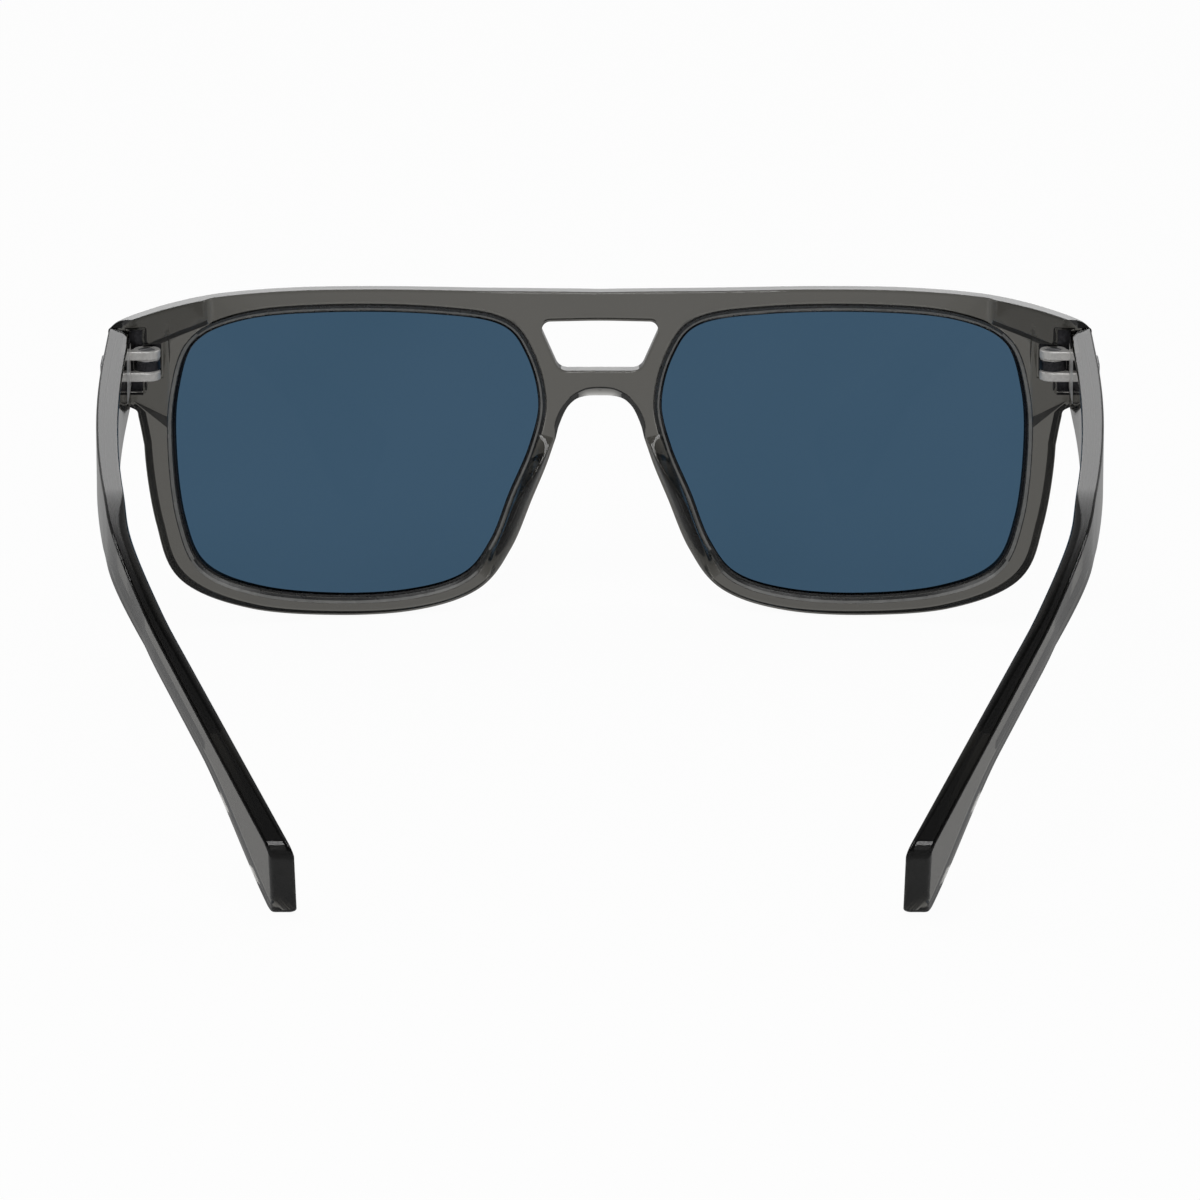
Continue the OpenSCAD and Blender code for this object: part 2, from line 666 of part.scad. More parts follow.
module temple_hinge(side) {
    color(steel) stand() on_side(side) difference() {
        union() {
            temple_plate();
            lug(hinge_low);
            lug(hinge_top - lug_t);
        }
        translate([axis_x, axis_y, hinge_low - past])
            cylinder(r = screw_r + lug_play, h = hinge_top - hinge_low + 2 * past, $fn = round_fn);
        translate([axis_x, axis_y, hinge_top - head_h])
            cylinder(r = head_r + lug_play, h = head_h + past, $fn = round_fn);
    }
}

knuckle_low = hinge_low + lug_t + washer_t + 2 * washer_play;
neck_w = 1.5 * barrel_r;
washer_in = 0.1;
module front_hinge(side) {
    color(steel) stand() on_side(side) difference() {
        union() {
            front_plate();
            translate([axis_x, axis_y, knuckle_low]) cylinder(r = barrel_r, h = knuckle_t, $fn = round_fn);
            translate([axis_x - neck_w / 2, plate_back - front_plate_t / 2, knuckle_low])
                cube([neck_w, axis_y - plate_back + front_plate_t / 2, knuckle_t]);
        }
        translate([axis_x, axis_y, knuckle_low - past])
            cylinder(r = screw_r + knuckle_play, h = knuckle_t + 2 * past, $fn = round_fn);
    }
}

module hinge_washers(side) {
    color(steel) stand() on_side(side)
        for (low = [hinge_low + lug_t + washer_play, knuckle_low + knuckle_t + washer_play])
            translate([axis_x, axis_y, low]) difference() {
                cylinder(r = barrel_r - washer_in, h = washer_t, $fn = round_fn);
                translate([0, 0, -past])
                    cylinder(r = screw_r + knuckle_play, h = washer_t + 2 * past, $fn = round_fn);
            }
}

module hinge_screw(side) {
    color(steel) stand() on_side(side) translate([axis_x, axis_y, 0]) difference() {
        union() {
            translate([0, 0, hinge_low]) cylinder(r = screw_r, h = hinge_top - hinge_low, $fn = round_fn);
            translate([0, 0, hinge_top - head_h]) cylinder(r = head_r, h = head_h, $fn = round_fn);
        }
        translate([-2 * head_r, -slot_w / 2, hinge_top - head_h / 2]) cube([4 * head_r, slot_w, head_h]);
    }
}

module temple_plaque(side) {
    l = plaque_l / 2;
    h = plaque_h / 2;
    r = plaque_h / 6;
    color(gunmetal) stand() on_side(side) {
        translate(plaque_mid) rotate([90, 0, 90]) linear_extrude(height = plaque_t)
            polygon(rounded([[-l, h, r], [l, h, r], [l, -h, r], [-l, -h, r]], 3));
        plaque_pins();
    }
}

front_frame();
lens(1);  // left_lens
lens(-1);  // right_lens
nose_pad(1);  // left_nose_pad
nose_pad(-1);  // right_nose_pad
front_hinge(1);  // left_front_hinge
front_hinge(-1);  // right_front_hinge
temple_hinge(1);  // left_temple_hinge
temple_hinge(-1);  // right_temple_hinge
hinge_washers(1);  // left_hinge_washers
hinge_washers(-1);  // right_hinge_washers
hinge_screw(1);  // left_hinge_screw
hinge_screw(-1);  // right_hinge_screw
temple(1);  // left_temple
temple(-1);  // right_temple
core_wire(1);  // left_core_wire
core_wire(-1);  // right_core_wire
temple_plaque(1);  // left_temple_plaque
temple_plaque(-1);  // right_temple_plaque
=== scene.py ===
"""Rectangular sunglasses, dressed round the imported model. Lengths are in mm until a mesh is made."""

import math

import bpy
import numpy as np
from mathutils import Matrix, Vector
from mathutils.geometry import delaunay_2d_cdt
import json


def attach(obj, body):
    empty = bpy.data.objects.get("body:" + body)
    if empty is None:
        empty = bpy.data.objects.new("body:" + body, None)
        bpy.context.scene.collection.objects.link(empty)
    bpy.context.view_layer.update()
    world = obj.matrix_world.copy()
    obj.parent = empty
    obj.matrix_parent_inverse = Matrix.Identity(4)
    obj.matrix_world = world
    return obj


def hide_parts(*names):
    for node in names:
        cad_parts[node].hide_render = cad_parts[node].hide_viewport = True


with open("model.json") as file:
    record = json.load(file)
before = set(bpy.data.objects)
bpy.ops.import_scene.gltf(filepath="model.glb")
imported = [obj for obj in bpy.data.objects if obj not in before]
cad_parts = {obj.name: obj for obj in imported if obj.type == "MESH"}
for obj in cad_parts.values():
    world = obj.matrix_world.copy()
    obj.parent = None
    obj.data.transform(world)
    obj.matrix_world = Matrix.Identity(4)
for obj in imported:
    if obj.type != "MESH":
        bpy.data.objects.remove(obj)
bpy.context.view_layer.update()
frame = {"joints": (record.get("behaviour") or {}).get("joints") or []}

# ---- sizes of the solids, in mm
FRONT_W, FRONT_H, FRONT_T, FRONT_R, CORNER_R = 139.6, 47.7, 4.0, 140.0, 4.0
TILT = math.radians(5)
BROW_H, BROW_ARCH, LENS_GAP, END_W, LENS_MID = 3.1, 1.3, 17.1, 8.8, 1.3
LENS_T, GROOVE, LENS_PLAY = 2.0, 0.9, 0.05
RIM_SIDE, RIM_BOTTOM, RIM_NOSE = 4.1, 2.5, 3.1
TOP_BAR, LOW_BAR, ARCH_H, ARCH_BEVEL = 4.3, 4.1, 4.0, 1.65
WINDOW_H, WINDOW_W, WINDOW_LOW_W, WINDOW_R, WINDOW_LOW_R, WINDOW_ARCH = 7.1, 18.0, 11.7, 1.2, 1.8, 0.15
PAD_H, PAD_EDGE = 3.6, 0.3
END_L, END_R, END_DROP = 3.4, 1.4, 1.0
BROW_STEP, THICK_L, THICK_H, THICK_FALL = 1.1, 5.5, 2.4, 4.9
FLAT_STEP, FLAT_W, FLAT_TAIL = 0.5, 8.4, 2.2
TEMPLE_T, NECK_T, TIP_T, MITRE, JOINT_GAP = 3.2, 2.7, 3.0, 2.0, 0.1
TEMPLE_H, NECK_H, TIP_H, FLARE_L, TIP_R = 10.6, 8.6, 15.6, 21.0, 1.8
STRAIGHT_L, BEND_R, BEND_A = 87.5, 40.5, math.radians(40)
BOW_R, BOW_FROM, TURN_R, TURN_A, TURN_FROM = 725.0, 16.0, 53.5, math.radians(31.3), 95.0
WIRE_T, WIRE_H, WIRE_DOWN, WIRE_SHORT = 1.0, 2.0, 4.6, 21.0
BARREL_R, BARREL_GAP, HINGE_DOWN = 1.95, 0.3, 2.6
LUG_T, KNUCKLE_T, WASHER_T, WASHER_PLAY = 1.25, 1.44, 0.15, 0.03
FRONT_PLATE_T, FRONT_PLATE_H, TEMPLE_PLATE_T, TEMPLE_PLATE_H, TEMPLE_PLATE_L = 1.1, 9.4, 0.9, 6.4, 11.0
SCREW_R, HEAD_R, HEAD_H, SLOT_W = 0.6, 1.15, 0.5, 0.3
PLAQUE_L, PLAQUE_H, PLAQUE_T, PLAQUE_Y, PLAQUE_DOWN = 5.6, 2.8, 0.5, 10.0, 3.0
# Points of the lens opening's outline, as shares of its half width and half height
LENS_SHAPE = [
    (-0.784, 0.876), (-0.408, 0.961), (0.162, 0.999), (0.616, 0.976), (0.885, 0.837), (0.983, 0.5),
    (0.997, 0.099), (0.953, -0.38), (0.836, -0.724), (0.531, -0.912), (0.104, -0.993), (-0.292, -0.983),
    (-0.582, -0.879), (-0.733, -0.647), (-0.836, -0.323), (-0.947, 0.004), (-1, 0.319), (-0.934, 0.654),
]
# How the rim's width swells and thins at those points, from number 5 on, and where the rim starts and ends
RIM_SHARE, RIM_FROM = (0.99, 0.95, 0.87, 0.98, 1.04, 0.99, 1, 0.965, 0.94, 1, 0.95), 5
RIM_FIRST, RIM_LAST = 5.85, 15.0
PLATE_UNDER, WING_IN, SET_BACK, WIRE_SKIN, WASHER_IN = 0.4, 0.6, 0.3, 0.1, 0.1

CT, ST = math.cos(TILT), math.sin(TILT)
MM = 1000  # in a metre
TINY, CLOSE = 1e-6, 1e-4  # how near two places are one, in a sum and after triangulation


def lerp(a, b, t):
    return a + (b - a) * t


def smooth(t):
    t = np.clip(t, 0, 1)
    return t * t * (3 - 2 * t)


def unit(v):
    """Flat vectors at length 1."""
    return v / np.hypot(v[..., 0], v[..., 1])[..., None]


def spline_at(a, b, c, d, t):
    """Point of a Catmull-Rom curve between b and c."""
    a, b, c, d = (np.asarray(q, float) for q in (a, b, c, d))
    return 0.5 * (2 * b + (c - a) * t + (2 * a - 5 * b + 4 * c - d) * t * t + (3 * b - a - 3 * c + d) * t**3)


def open_curve(p, steps):
    last = len(p) - 1
    out = [
        spline_at(p[max(i - 1, 0)], p[i], p[i + 1], p[min(i + 2, last)], k / steps)
        for i in range(last)
        for k in range(steps)
    ]
    return np.array(out + [np.asarray(p[last], float)])


# ---- outlines of the front: x and u
HALF_W = FRONT_W / 2
LENS_W = (FRONT_W - LENS_GAP) / 2 - END_W
LENS_HH = FRONT_H - BROW_H - RIM_BOTTOM
BROW_MID = LENS_MID + LENS_HH / 2 + BROW_H - BROW_ARCH
TEMPLE_TOP = BROW_MID - END_DROP
LENS_X = LENS_GAP / 2 + LENS_W / 2
TEMPLE_IN = HALF_W - TEMPLE_T


def face_n(x, depth):
    """Place along n of the curved sheet that lies a depth behind the front's outer face."""
    return FRONT_R - np.sqrt(np.maximum((FRONT_R - depth) ** 2 - x * x, 0))


JOINT_Y = float(face_n(HALF_W, 0)) * CT - TEMPLE_TOP * ST + END_L
JOINT_N = (JOINT_Y + TEMPLE_TOP * ST) / CT
END_TOP = (TEMPLE_TOP - JOINT_N * ST) / CT
END_LOW = (TEMPLE_TOP - TEMPLE_H - JOINT_N * ST) / CT


def lens_ctrl(i):
    q = LENS_SHAPE[i % len(LENS_SHAPE)]
    return np.array([LENS_X + q[0] * LENS_W / 2, LENS_MID + q[1] * LENS_HH / 2])


def lens_at(s):
    i = math.floor(s)
    return spline_at(lens_ctrl(i - 1), lens_ctrl(i), lens_ctrl(i + 1), lens_ctrl(i + 2), s - i)


def lens_out(s):
    """Way out of the opening at a place of its outline."""
    step = 0.01
    d = unit(lens_at(s + step) - lens_at(s - step))
    return np.array([-d[1], d[0]])


def rim_width(s):
    i, v = math.floor(s), lens_out(s)
    share = [RIM_SHARE[min(max(i + k - RIM_FROM, 0), len(RIM_SHARE) - 1)] for k in (-1, 0, 1, 2)]
    side = RIM_SIDE if v[0] > 0 else RIM_NOSE
    return (v[0] * v[0] * side + v[1] * v[1] * RIM_BOTTOM) * float(spline_at(*share, s - i))


def lens_offset(s, d):
    return lens_at(s) + lens_out(s) * d


def rim_at(s):
    return lens_offset(s, rim_width(s))


def lens_loop(d, steps=12):
    return np.array([lens_offset(k / steps, d) for k in range(len(LENS_SHAPE) * steps)])


# Points of the half outline's brow and of its end-piece
BROW_SHARES = ((0, 0), (0.23, 0.25), (0.458, 0.75), (0.63, 1), (0.774, 0.82), (0.867, 0.18))
BROW_CTRL = [(a * HALF_W, BROW_MID + b * BROW_ARCH) for a, b in BROW_SHARES]
BROW_CTRL += [(a * HALF_W, lerp(END_TOP, BROW_MID, b)) for a, b in ((0.943, 0.65), (0.983, 0.31))]
BROW_CTRL += [(HALF_W, END_TOP)]
END_SHARES = ((0, 0.85), (0.3, 0.2), (1, 0), (2.65, -0.6), (3, -1.6))
END_CTRL = [(HALF_W - a * END_R, END_LOW + b * END_R) for a, b in END_SHARES] + [tuple(rim_at(RIM_FIRST))]
WINDOW_TOP = BROW_MID - TOP_BAR
WINDOW_LOW = WINDOW_TOP - WINDOW_H
ARCH_U = WINDOW_LOW - LOW_BAR
ARCH_W = LENS_GAP / 2
ARCH_FOOT, ARCH_SIDE = rim_at(RIM_LAST), np.array([0.676 * ARCH_W, ARCH_U - ARCH_H])
# Points of the nose arch, each with the width of its bevel there as a share of the width in the middle
ARCH_SHARES = ((0.59, 0.58, 0.54), (0.506, 0.32, 0.55), (0.38, 0.11, 0.7), (0.2, 0.012, 0.93), (0, 0, 1))
ARCH_CTRL = [(*ARCH_FOOT, 0), (*(ARCH_FOOT + ARCH_SIDE) / 2, 0), (*ARCH_SIDE, 0.45)]
ARCH_CTRL += [(a * ARCH_W, ARCH_U - b * ARCH_H, share) for a, b, share in ARCH_SHARES]
BROW_STEPS, SIDE_STEPS, END_STEPS, RIM_STEPS, ARCH_STEPS = 14, 14, 8, 120, 10
arch_run = open_curve(ARCH_CTRL, ARCH_STEPS)
side_run = [[HALF_W, lerp(END_TOP, END_CTRL[0][1], k / SIDE_STEPS)] for k in range(1, SIDE_STEPS)]
rim_run = [rim_at(lerp(RIM_FIRST, RIM_LAST, k / RIM_STEPS)) for k in range(1, RIM_STEPS + 1)]
half_outline = np.vstack([
    open_curve(BROW_CTRL, BROW_STEPS), side_run, open_curve(END_CTRL, END_STEPS), rim_run, arch_run[1:, :2],
])


def rounded(pts, steps):
    """Outline with rounded corners, from points that each hold x, y and a corner radius."""
    out = []
    m = len(pts)
    for i in range(m):
        p = np.array(pts[i][:2], float)
        a = unit(np.array(pts[i - 1][:2], float) - p)
        b = unit(np.array(pts[(i + 1) % m][:2], float) - p)
        r = pts[i][2]
        half = math.acos(np.clip(a @ b, -1, 1)) / 2
        mid = p + unit(a + b) * r / math.sin(half)
        start = p + a * r / math.tan(half) - mid
        turn = -1 if a[0] * b[1] - a[1] * b[0] > 0 else 1
        for k in range(steps + 1):
            g = turn * (math.pi - 2 * half) * k / steps
            c, s = math.cos(g), math.sin(g)
            out.append(mid + [start[0] * c - start[1] * s, start[0] * s + start[1] * c])
    return np.array(out)


WX0, WX1 = WINDOW_LOW_W / 2, WINDOW_W / 2
ARC_R = (WX1 * WX1 / WINDOW_ARCH + WINDOW_ARCH) / 4
window_full = rounded([
    (-WX1, WINDOW_TOP, WINDOW_R), (0, WINDOW_TOP + WINDOW_ARCH, ARC_R), (WX1, WINDOW_TOP, WINDOW_R),
    (WX0, WINDOW_LOW, WINDOW_LOW_R), (-WX0, WINDOW_LOW, WINDOW_LOW_R),
], steps=8)
window_half = np.vstack([
    [0, window_full[:, 1].max()], window_full[window_full[:, 0] > TINY], [0, WINDOW_LOW],
])

rim_floor = min(p[1] * CT + float(face_n(p[0], 0)) * ST for p in half_outline)
EAR_L = (
    TEMPLE_TOP - BEND_R * (1 - math.cos(BEND_A)) - TIP_H * math.cos(BEND_A) - rim_floor
    + TIP_R * (math.cos(BEND_A) + math.sin(BEND_A) - 1)
) / math.sin(BEND_A)

# Hinge axis, heights of its parts, and the shift from the model's own origin to the row frame
AXIS_X = TEMPLE_IN - BARREL_GAP - BARREL_R
HINGE_TOP = TEMPLE_TOP - HINGE_DOWN
HINGE_LOW = HINGE_TOP - 2 * LUG_T - KNUCKLE_T - 2 * WASHER_T - 4 * WASHER_PLAY
HINGE_MID = (HINGE_TOP + HINGE_LOW) / 2
PLATE_BACK = JOINT_Y - BARREL_R - BARREL_GAP
fold = next(j for j in frame["joints"] if j["child"] == "left_arm")["pos_m"]
SHIFT = np.array([0, fold[1] * MM - JOINT_Y, fold[2] * MM - HINGE_MID])


# ---- meshes
def shown(name, data):
    """Object of the scene for a mesh, lamp or camera."""
    obj = bpy.data.objects.new(name, data)
    bpy.context.scene.collection.objects.link(obj)
    return obj


def make(name, shape, body, node, materials):
    """Piece from points in mm, faces, a normal for each face corner, and each face's material."""
    verts, faces, normals, kinds = shape
    mesh = bpy.data.meshes.new(name)
    points = (np.asarray(verts, float) + SHIFT) / MM
    mesh.from_pydata([tuple(p) for p in points], [], [tuple(map(int, f)) for f in faces])
    mesh.polygons.foreach_set("use_smooth", [True] * len(mesh.polygons))
    for material in materials:
        mesh.materials.append(material)
    if kinds is not None:
        mesh.polygons.foreach_set("material_index", kinds)
    mesh.normals_split_custom_set([tuple(n) for n in normals])
    obj = shown(name, mesh)
    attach(obj, body)
    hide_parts(node)


def mirrored(shape):
    """The same mesh on the other side of the middle plane."""
    verts, faces, normals, kinds = shape
    flip = np.array([-1, 1, 1])
    out_normals, at = [], 0
    for f in faces:
        out_normals.extend(np.asarray(n) * flip for n in reversed(normals[at : at + len(f)]))
        at += len(f)
    return np.asarray(verts) * flip, [tuple(reversed(f)) for f in faces], out_normals, kinds


def from_front(x, n, u):
    """Points of the leaning front frame in the upright frame."""
    return np.stack([x, n * CT - u * ST, n * ST + u * CT], -1)


def edge_normals(loop, closed=True):
    """Normals to the right of a line at its points, averaged from both edges, and the mitre's stretch."""
    p = np.asarray(loop, float)
    if closed:
        before, after = p - np.roll(p, 1, 0), np.roll(p, -1, 0) - p
    else:
        step = np.diff(p, axis=0)
        before, after = np.vstack([step[:1], step]), np.vstack([step, step[-1:]])
    n1, n2 = (unit(way)[:, ::-1] * (1, -1) for way in (before, after))
    n = unit(n1 + n2)
    return n, 1 / np.maximum((n * n1).sum(1), 0.5)


def offset_line(line, d, closed=True):
    n, k = edge_normals(line, closed)
    return np.asarray(line) + n * d * k[:, None]


CHUNK = 2000  # points handled at once


def closest(points, a, b):
    """For each point the nearest of the segments from a to b: its number, the share along it, the gap."""
    p, ab = points[:, None, :], b - a
    t = np.clip(((p - a) * ab).sum(2) / np.maximum((ab * ab).sum(1), 1e-18), 0, 1)
    gap = p - (a + t[..., None] * ab)
    d2 = (gap * gap).sum(2)
    k, r = d2.argmin(1), np.arange(len(points))
    return k, t[r, k], gap[r, k], np.sqrt(d2[r, k])


def nearest(points, line, closed=True):
    """Distance from each point to a polyline, and the direction away from it at length 1."""
    a = np.asarray(line, float)
    a, b = (a, np.roll(a, -1, 0)) if closed else (a[:-1], a[1:])
    dist, away = np.empty(len(points)), np.empty((len(points), 2))
    for i in range(0, len(points), CHUNK):
        part = slice(i, i + CHUNK)
        _, _, gap, dist[part] = closest(points[part], a, b)
        away[part] = gap / np.maximum(dist[part], 1e-12)[:, None]
    return dist, away


def inside(points, loops):
    """Whether points lie inside an odd number of closed loops."""
    odd = np.zeros(len(points), bool)
    for loop in loops:
        a = np.asarray(loop, float)
        b = np.roll(a, -1, 0)
        for i in range(0, len(points), CHUNK):
            x, y = points[i : i + CHUNK, :1], points[i : i + CHUNK, 1:]
            hit = (a[:, 1] > y) != (b[:, 1] > y)
            with np.errstate(divide="ignore", invalid="ignore"):
                cross = a[:, 0] + (y - a[:, 1]) / (b - a)[:, 1] * (b - a)[:, 0]
            odd[i : i + CHUNK] ^= (hit & (cross > x)).sum(1) % 2 == 1
    return odd


def fill(loops, lines, points, bounds):
    """Triangles of the region inside bounds, with every loop and line kept as edges."""
    weld, flat_area = 1e-5, 1e-12
    verts, edges = [], []
    for line, closed in [(loop, True) for loop in loops] + [(line, False) for line in lines]:
        first = len(verts)
        verts += [Vector(p) for p in line]
        count = len(line)
        edges += [(first + i, first + (i + 1) % count) for i in range(count if closed else count - 1)]
    verts += [Vector(p) for p in points]
    v, _, f, *_ = delaunay_2d_cdt(verts, edges, [], 0, weld, False)
    v = np.array([tuple(p) for p in v])
    f = np.array([tuple(t) for t in f])
    f = f[inside(v[f].mean(1), bounds)]
    used, back = np.unique(f, return_inverse=True)
    v, f = v[used], back.reshape(-1, 3)
    area = np.cross(v[f[:, 1]] - v[f[:, 0]], v[f[:, 2]] - v[f[:, 0]])
    f[area < 0] = f[area < 0][:, ::-1]
    return v, f[np.abs(area) > flat_area]


def grid_in(edges, step, first, low, high):
    """Points of a square grid inside the edges."""
    gx, gu = np.meshgrid(np.arange(first, HALF_W, step), np.arange(low, high, step))
    grid = np.stack([gx.ravel(), gu.ravel()], 1)
    return grid[inside(grid, edges)]


def boundary(tris):
    """Directed edges that only one triangle has, with the region on their left."""
    edges = {(t[i], t[(i + 1) % 3]): True for t in tris for i in range(3)}
    return [e for e in edges if (e[1], e[0]) not in edges]


def net_faces(n, order):
    """Quads between the rings of a net, and their corners' normals, from the normals at the net's points."""
    faces, normals = [], []
    rings, m, _ = n.shape
    for j in range(rings - 1):
        for i in range(m):
            k = (i + 1) % m
            corners = [((j, i), (j + 1, i), (j + 1, k), (j, k))[c] for c in order]
            faces.append(tuple(a * m + b for a, b in corners))
            normals += [n[c] for c in corners]
    return faces, normals


# ---- the front moulding
# Radii of the rear, outer and window edges, and the shares of a radius at which triangles follow a round
REAR_R, FACE_R, WINDOW_EDGE = 0.4, 0.6, 0.35
ROUND_AT = [0.06, 0.234, 0.5, 0.74, 1]
# Bevelled ring round a lens: width, depth, round at the outer face, where its facets of painted shade and
# highlight end, fade beside it
RING_W, RING_DROP, RING_FACE, RING_AT, RING_FADE = 0.7, 0.62, 0.3, (0.14, 0.28, 0.36, 0.58), 0.6
# Widths of the slope under the brow and of the walls of the pocket for a hinge plate. The pocket's floor
# is taken at one height, and has a play behind the plate
RAMP, BAND, POCKET_U, POCKET_PLAY = 0.8, 0.012, 18.0, 0.01
THICK_SIDE, FLAT_SIDE, FLAT_FOOT = 1.2, 0.3, 1.8
# Half widths of the strips of triangles that follow the creases
THICK_FLANK, FLAT_FLANK, ARCH_FLANK = 0.23, 0.15, 0.14
STEP_X = HALF_W - FLAT_W
THICK_LOW = BROW_MID - THICK_H

domain = np.vstack([half_outline, window_half[::-1]])
lens_edge = lens_loop(0)
CORNER_X = HALF_W - CORNER_R
CORNER_N = float(face_n(CORNER_X, CORNER_R))
CORNER_T = CORNER_X * FRONT_R / (FRONT_R - CORNER_R)
side_from = int(np.argmax(half_outline[:, 0] >= HALF_W - TINY))
front_lines = [half_outline[: side_from + 1], half_outline[side_from + SIDE_STEPS :]]


def fillet(d, r):
    """Drop of a quarter round of radius r at a distance d from its edge."""
    return r - np.sqrt(np.maximum(r * r - np.maximum(r - d, 0) ** 2, 0))


def rise(q, width):
    """Rise from 0 to 1 over a width whose middle is at q = 0."""
    return np.clip(q / width + 0.5, 0, 1)


def u_of(z):
    """Height in the leaning frame of an upright height on the back of the hinge plate."""
    return (z - (PLATE_BACK + POCKET_U * ST) / CT * ST) / CT


pocket_spans = (
    (AXIS_X - BARREL_R - BARREL_GAP, HINGE_LOW - BARREL_GAP, HINGE_TOP + BARREL_GAP),
    (AXIS_X + WING_IN, HINGE_MID - FRONT_PLATE_H / 2, HINGE_MID + FRONT_PLATE_H / 2),
)
POCKET = [(x, TEMPLE_IN + PLATE_UNDER, u_of(low), u_of(high)) for x, low, high in pocket_spans]


def half_plane(x, u, a, b):
    """Signed distance to the left of the line from a to b."""
    d = unit(np.array(b, float) - a)
    return d[0] * (u - a[1]) - d[1] * (x - a[0])


THICK_A, THICK_B = (STEP_X - THICK_L, THICK_LOW), (HALF_W + 1, THICK_LOW - THICK_FALL)
FLAT_A = (STEP_X, END_LOW - FLAT_TAIL)
FLAT_B = (HALF_W - 2.5 * END_R, END_LOW + 0.35 * END_R)
FOOT_A = (STEP_X, END_LOW - FLAT_TAIL - FLAT_FOOT)


def step_lines(x, u):
    """Signed distances to the thick end's lower line, and to the hinge flat's upper and lower lines."""
    return [half_plane(x, u, *line) for line in ((THICK_A, THICK_B), (FLAT_A, FLAT_B), (FOOT_A, FLAT_B))]


def steps(x, u):
    """Extra thickness of the rear of the end-piece."""
    thick, top, foot = step_lines(x, u)
    brow = BROW_STEP * rise(np.minimum(thick, (x - THICK_A[0]) * THICK_SIDE), RAMP)
    slope = np.clip(foot / np.maximum(foot - top, 1e-3), 0, 1)
    slope = np.where(x > FLAT_B[0], (top > 0).astype(float), slope)
    return np.maximum(brow, FLAT_STEP * np.minimum(slope, rise(x - STEP_X, FLAT_SIDE)))


def shade_painted_wall(x, u):
    """Whether a place of the rear lies on the wall below the brow's thick end or the hinge flat, which gets
    painted shade.
    """
    thick, top, foot = step_lines(x, u)
    under_brow = (np.abs(thick) < RAMP / 2) & (x > THICK_A[0]) & (x < TEMPLE_IN)
    return under_brow | ((top < 0) & (foot > 0) & (x > STEP_X) & (x < FLAT_B[0]))


# Above the temple's top the end-piece slopes down to the joint
END_RISE, END_RUN, END_LEDGE, END_SLOPE = 1.6, 1.3, 0.25, 1.8
END_LINE = [
    (TEMPLE_IN, END_TOP + END_RISE), (TEMPLE_IN + END_RUN, END_TOP + END_LEDGE),
    (HALF_W + 1, END_TOP + END_LEDGE),
]

# The arch's bevel starts above a land at the outer face, and its upper edge is rounded over a little.
# Its upper edge, and beyond a share of the arch's width its steep sides as well, get painted shade
ARCH_LAND, ARCH_ROUND, ARCH_THIN, ARCH_DARK = 0.75, 0.3, 0.3, 0.36


def arch_drop(x, u):
    """Depth by which the bevel of the nose arch lies below the rear face."""
    out = np.zeros(len(x))
    near = np.flatnonzero((x < ARCH_W) & (u > ARCH_FOOT[1]) & (u < ARCH_U + 2 * ARCH_BEVEL))
    if not len(near):
        return out
    k, t, _, gap = closest(np.stack([x[near], u[near]], 1), arch_run[:-1, :2], arch_run[1:, :2])
    share = np.maximum(lerp(arch_run[k, 2], arch_run[k + 1, 2], t), 1e-3)
    depth = (FRONT_T - ARCH_LAND) * np.minimum(share / ARCH_THIN, 1)
    drop = depth * (1 - gap / (share * ARCH_BEVEL))
    edge = np.minimum(ARCH_ROUND, depth)
    out[near] = np.where(np.abs(drop) < edge, (drop + edge) ** 2 / (4 * edge), np.maximum(drop, 0))
    return out


def arch_edge(x, u):
    """Whether a place lies on the upper edge of the nose arch's bevel, or on its steep sides, which get
    painted shade.
    """
    drop = arch_drop(x, u)
    return (drop > CLOSE) & ((drop < ARCH_ROUND) | (x > ARCH_DARK * ARCH_W))


def rear_n(x, u, d_out, d_win, d_lens):
    """Place of the rear face along n, from the distances to the outline, the window and the lens opening."""
    drop = np.max([fillet(d_out, REAR_R), fillet(d_win, WINDOW_EDGE), arch_drop(x, u)], 0)
    ring = RING_DROP * np.clip(1 - d_lens / RING_W, 0, 1)
    n = face_n(x, FRONT_T + steps(x, u) * rise(d_lens - RING_W, RING_FADE) - drop - ring)
    joint = JOINT_Y + (TEMPLE_IN - x) * MITRE / TEMPLE_T - JOINT_GAP
    cut = (joint + u * ST) / CT
    n = np.where(x > TEMPLE_IN - FLAT_W, np.minimum(n, cut), n)
    over = np.maximum(u - np.interp(x, *np.array(END_LINE).T), 0)
    n = np.where(x > TEMPLE_IN, np.minimum(n, cut - END_SLOPE * over), n)
    deep = np.max([np.min([x - x0, x1 - x, u - u0, u1 - u], 0) for x0, x1, u0, u1 in POCKET], 0)
    floor = (PLATE_BACK - POCKET_PLAY + u * ST) / CT
    return np.where(floor < n, lerp(n, floor, np.clip(deep / BAND, 0, 1)), n)


def outer_n(x, u, d_out, d_win, d_lens):
    """Place of the outer face along n."""
    drop = np.max([fillet(d_out, FACE_R), fillet(d_win, WINDOW_EDGE), fillet(d_lens, RING_FACE)], 0)
    turn = CORNER_N - np.sqrt(np.maximum(CORNER_R**2 - np.clip(x - CORNER_X, 0, CORNER_R) ** 2, 0))
    return np.where(x > CORNER_T, turn + drop, face_n(x, drop))


def ring_kind(d, away):
    """Facet of painted shade or painted highlight on the bevel round a lens, by its distance and way from
    the opening's edge.
    """
    first, second, third, fourth = RING_AT
    below, outward = -0.5, 0.6
    if away[1] < below:
        return 3 if d > third else 2
    if away[0] > outward:
        return 3 if first < d < fourth else 2
    return 3 if d < second else 2


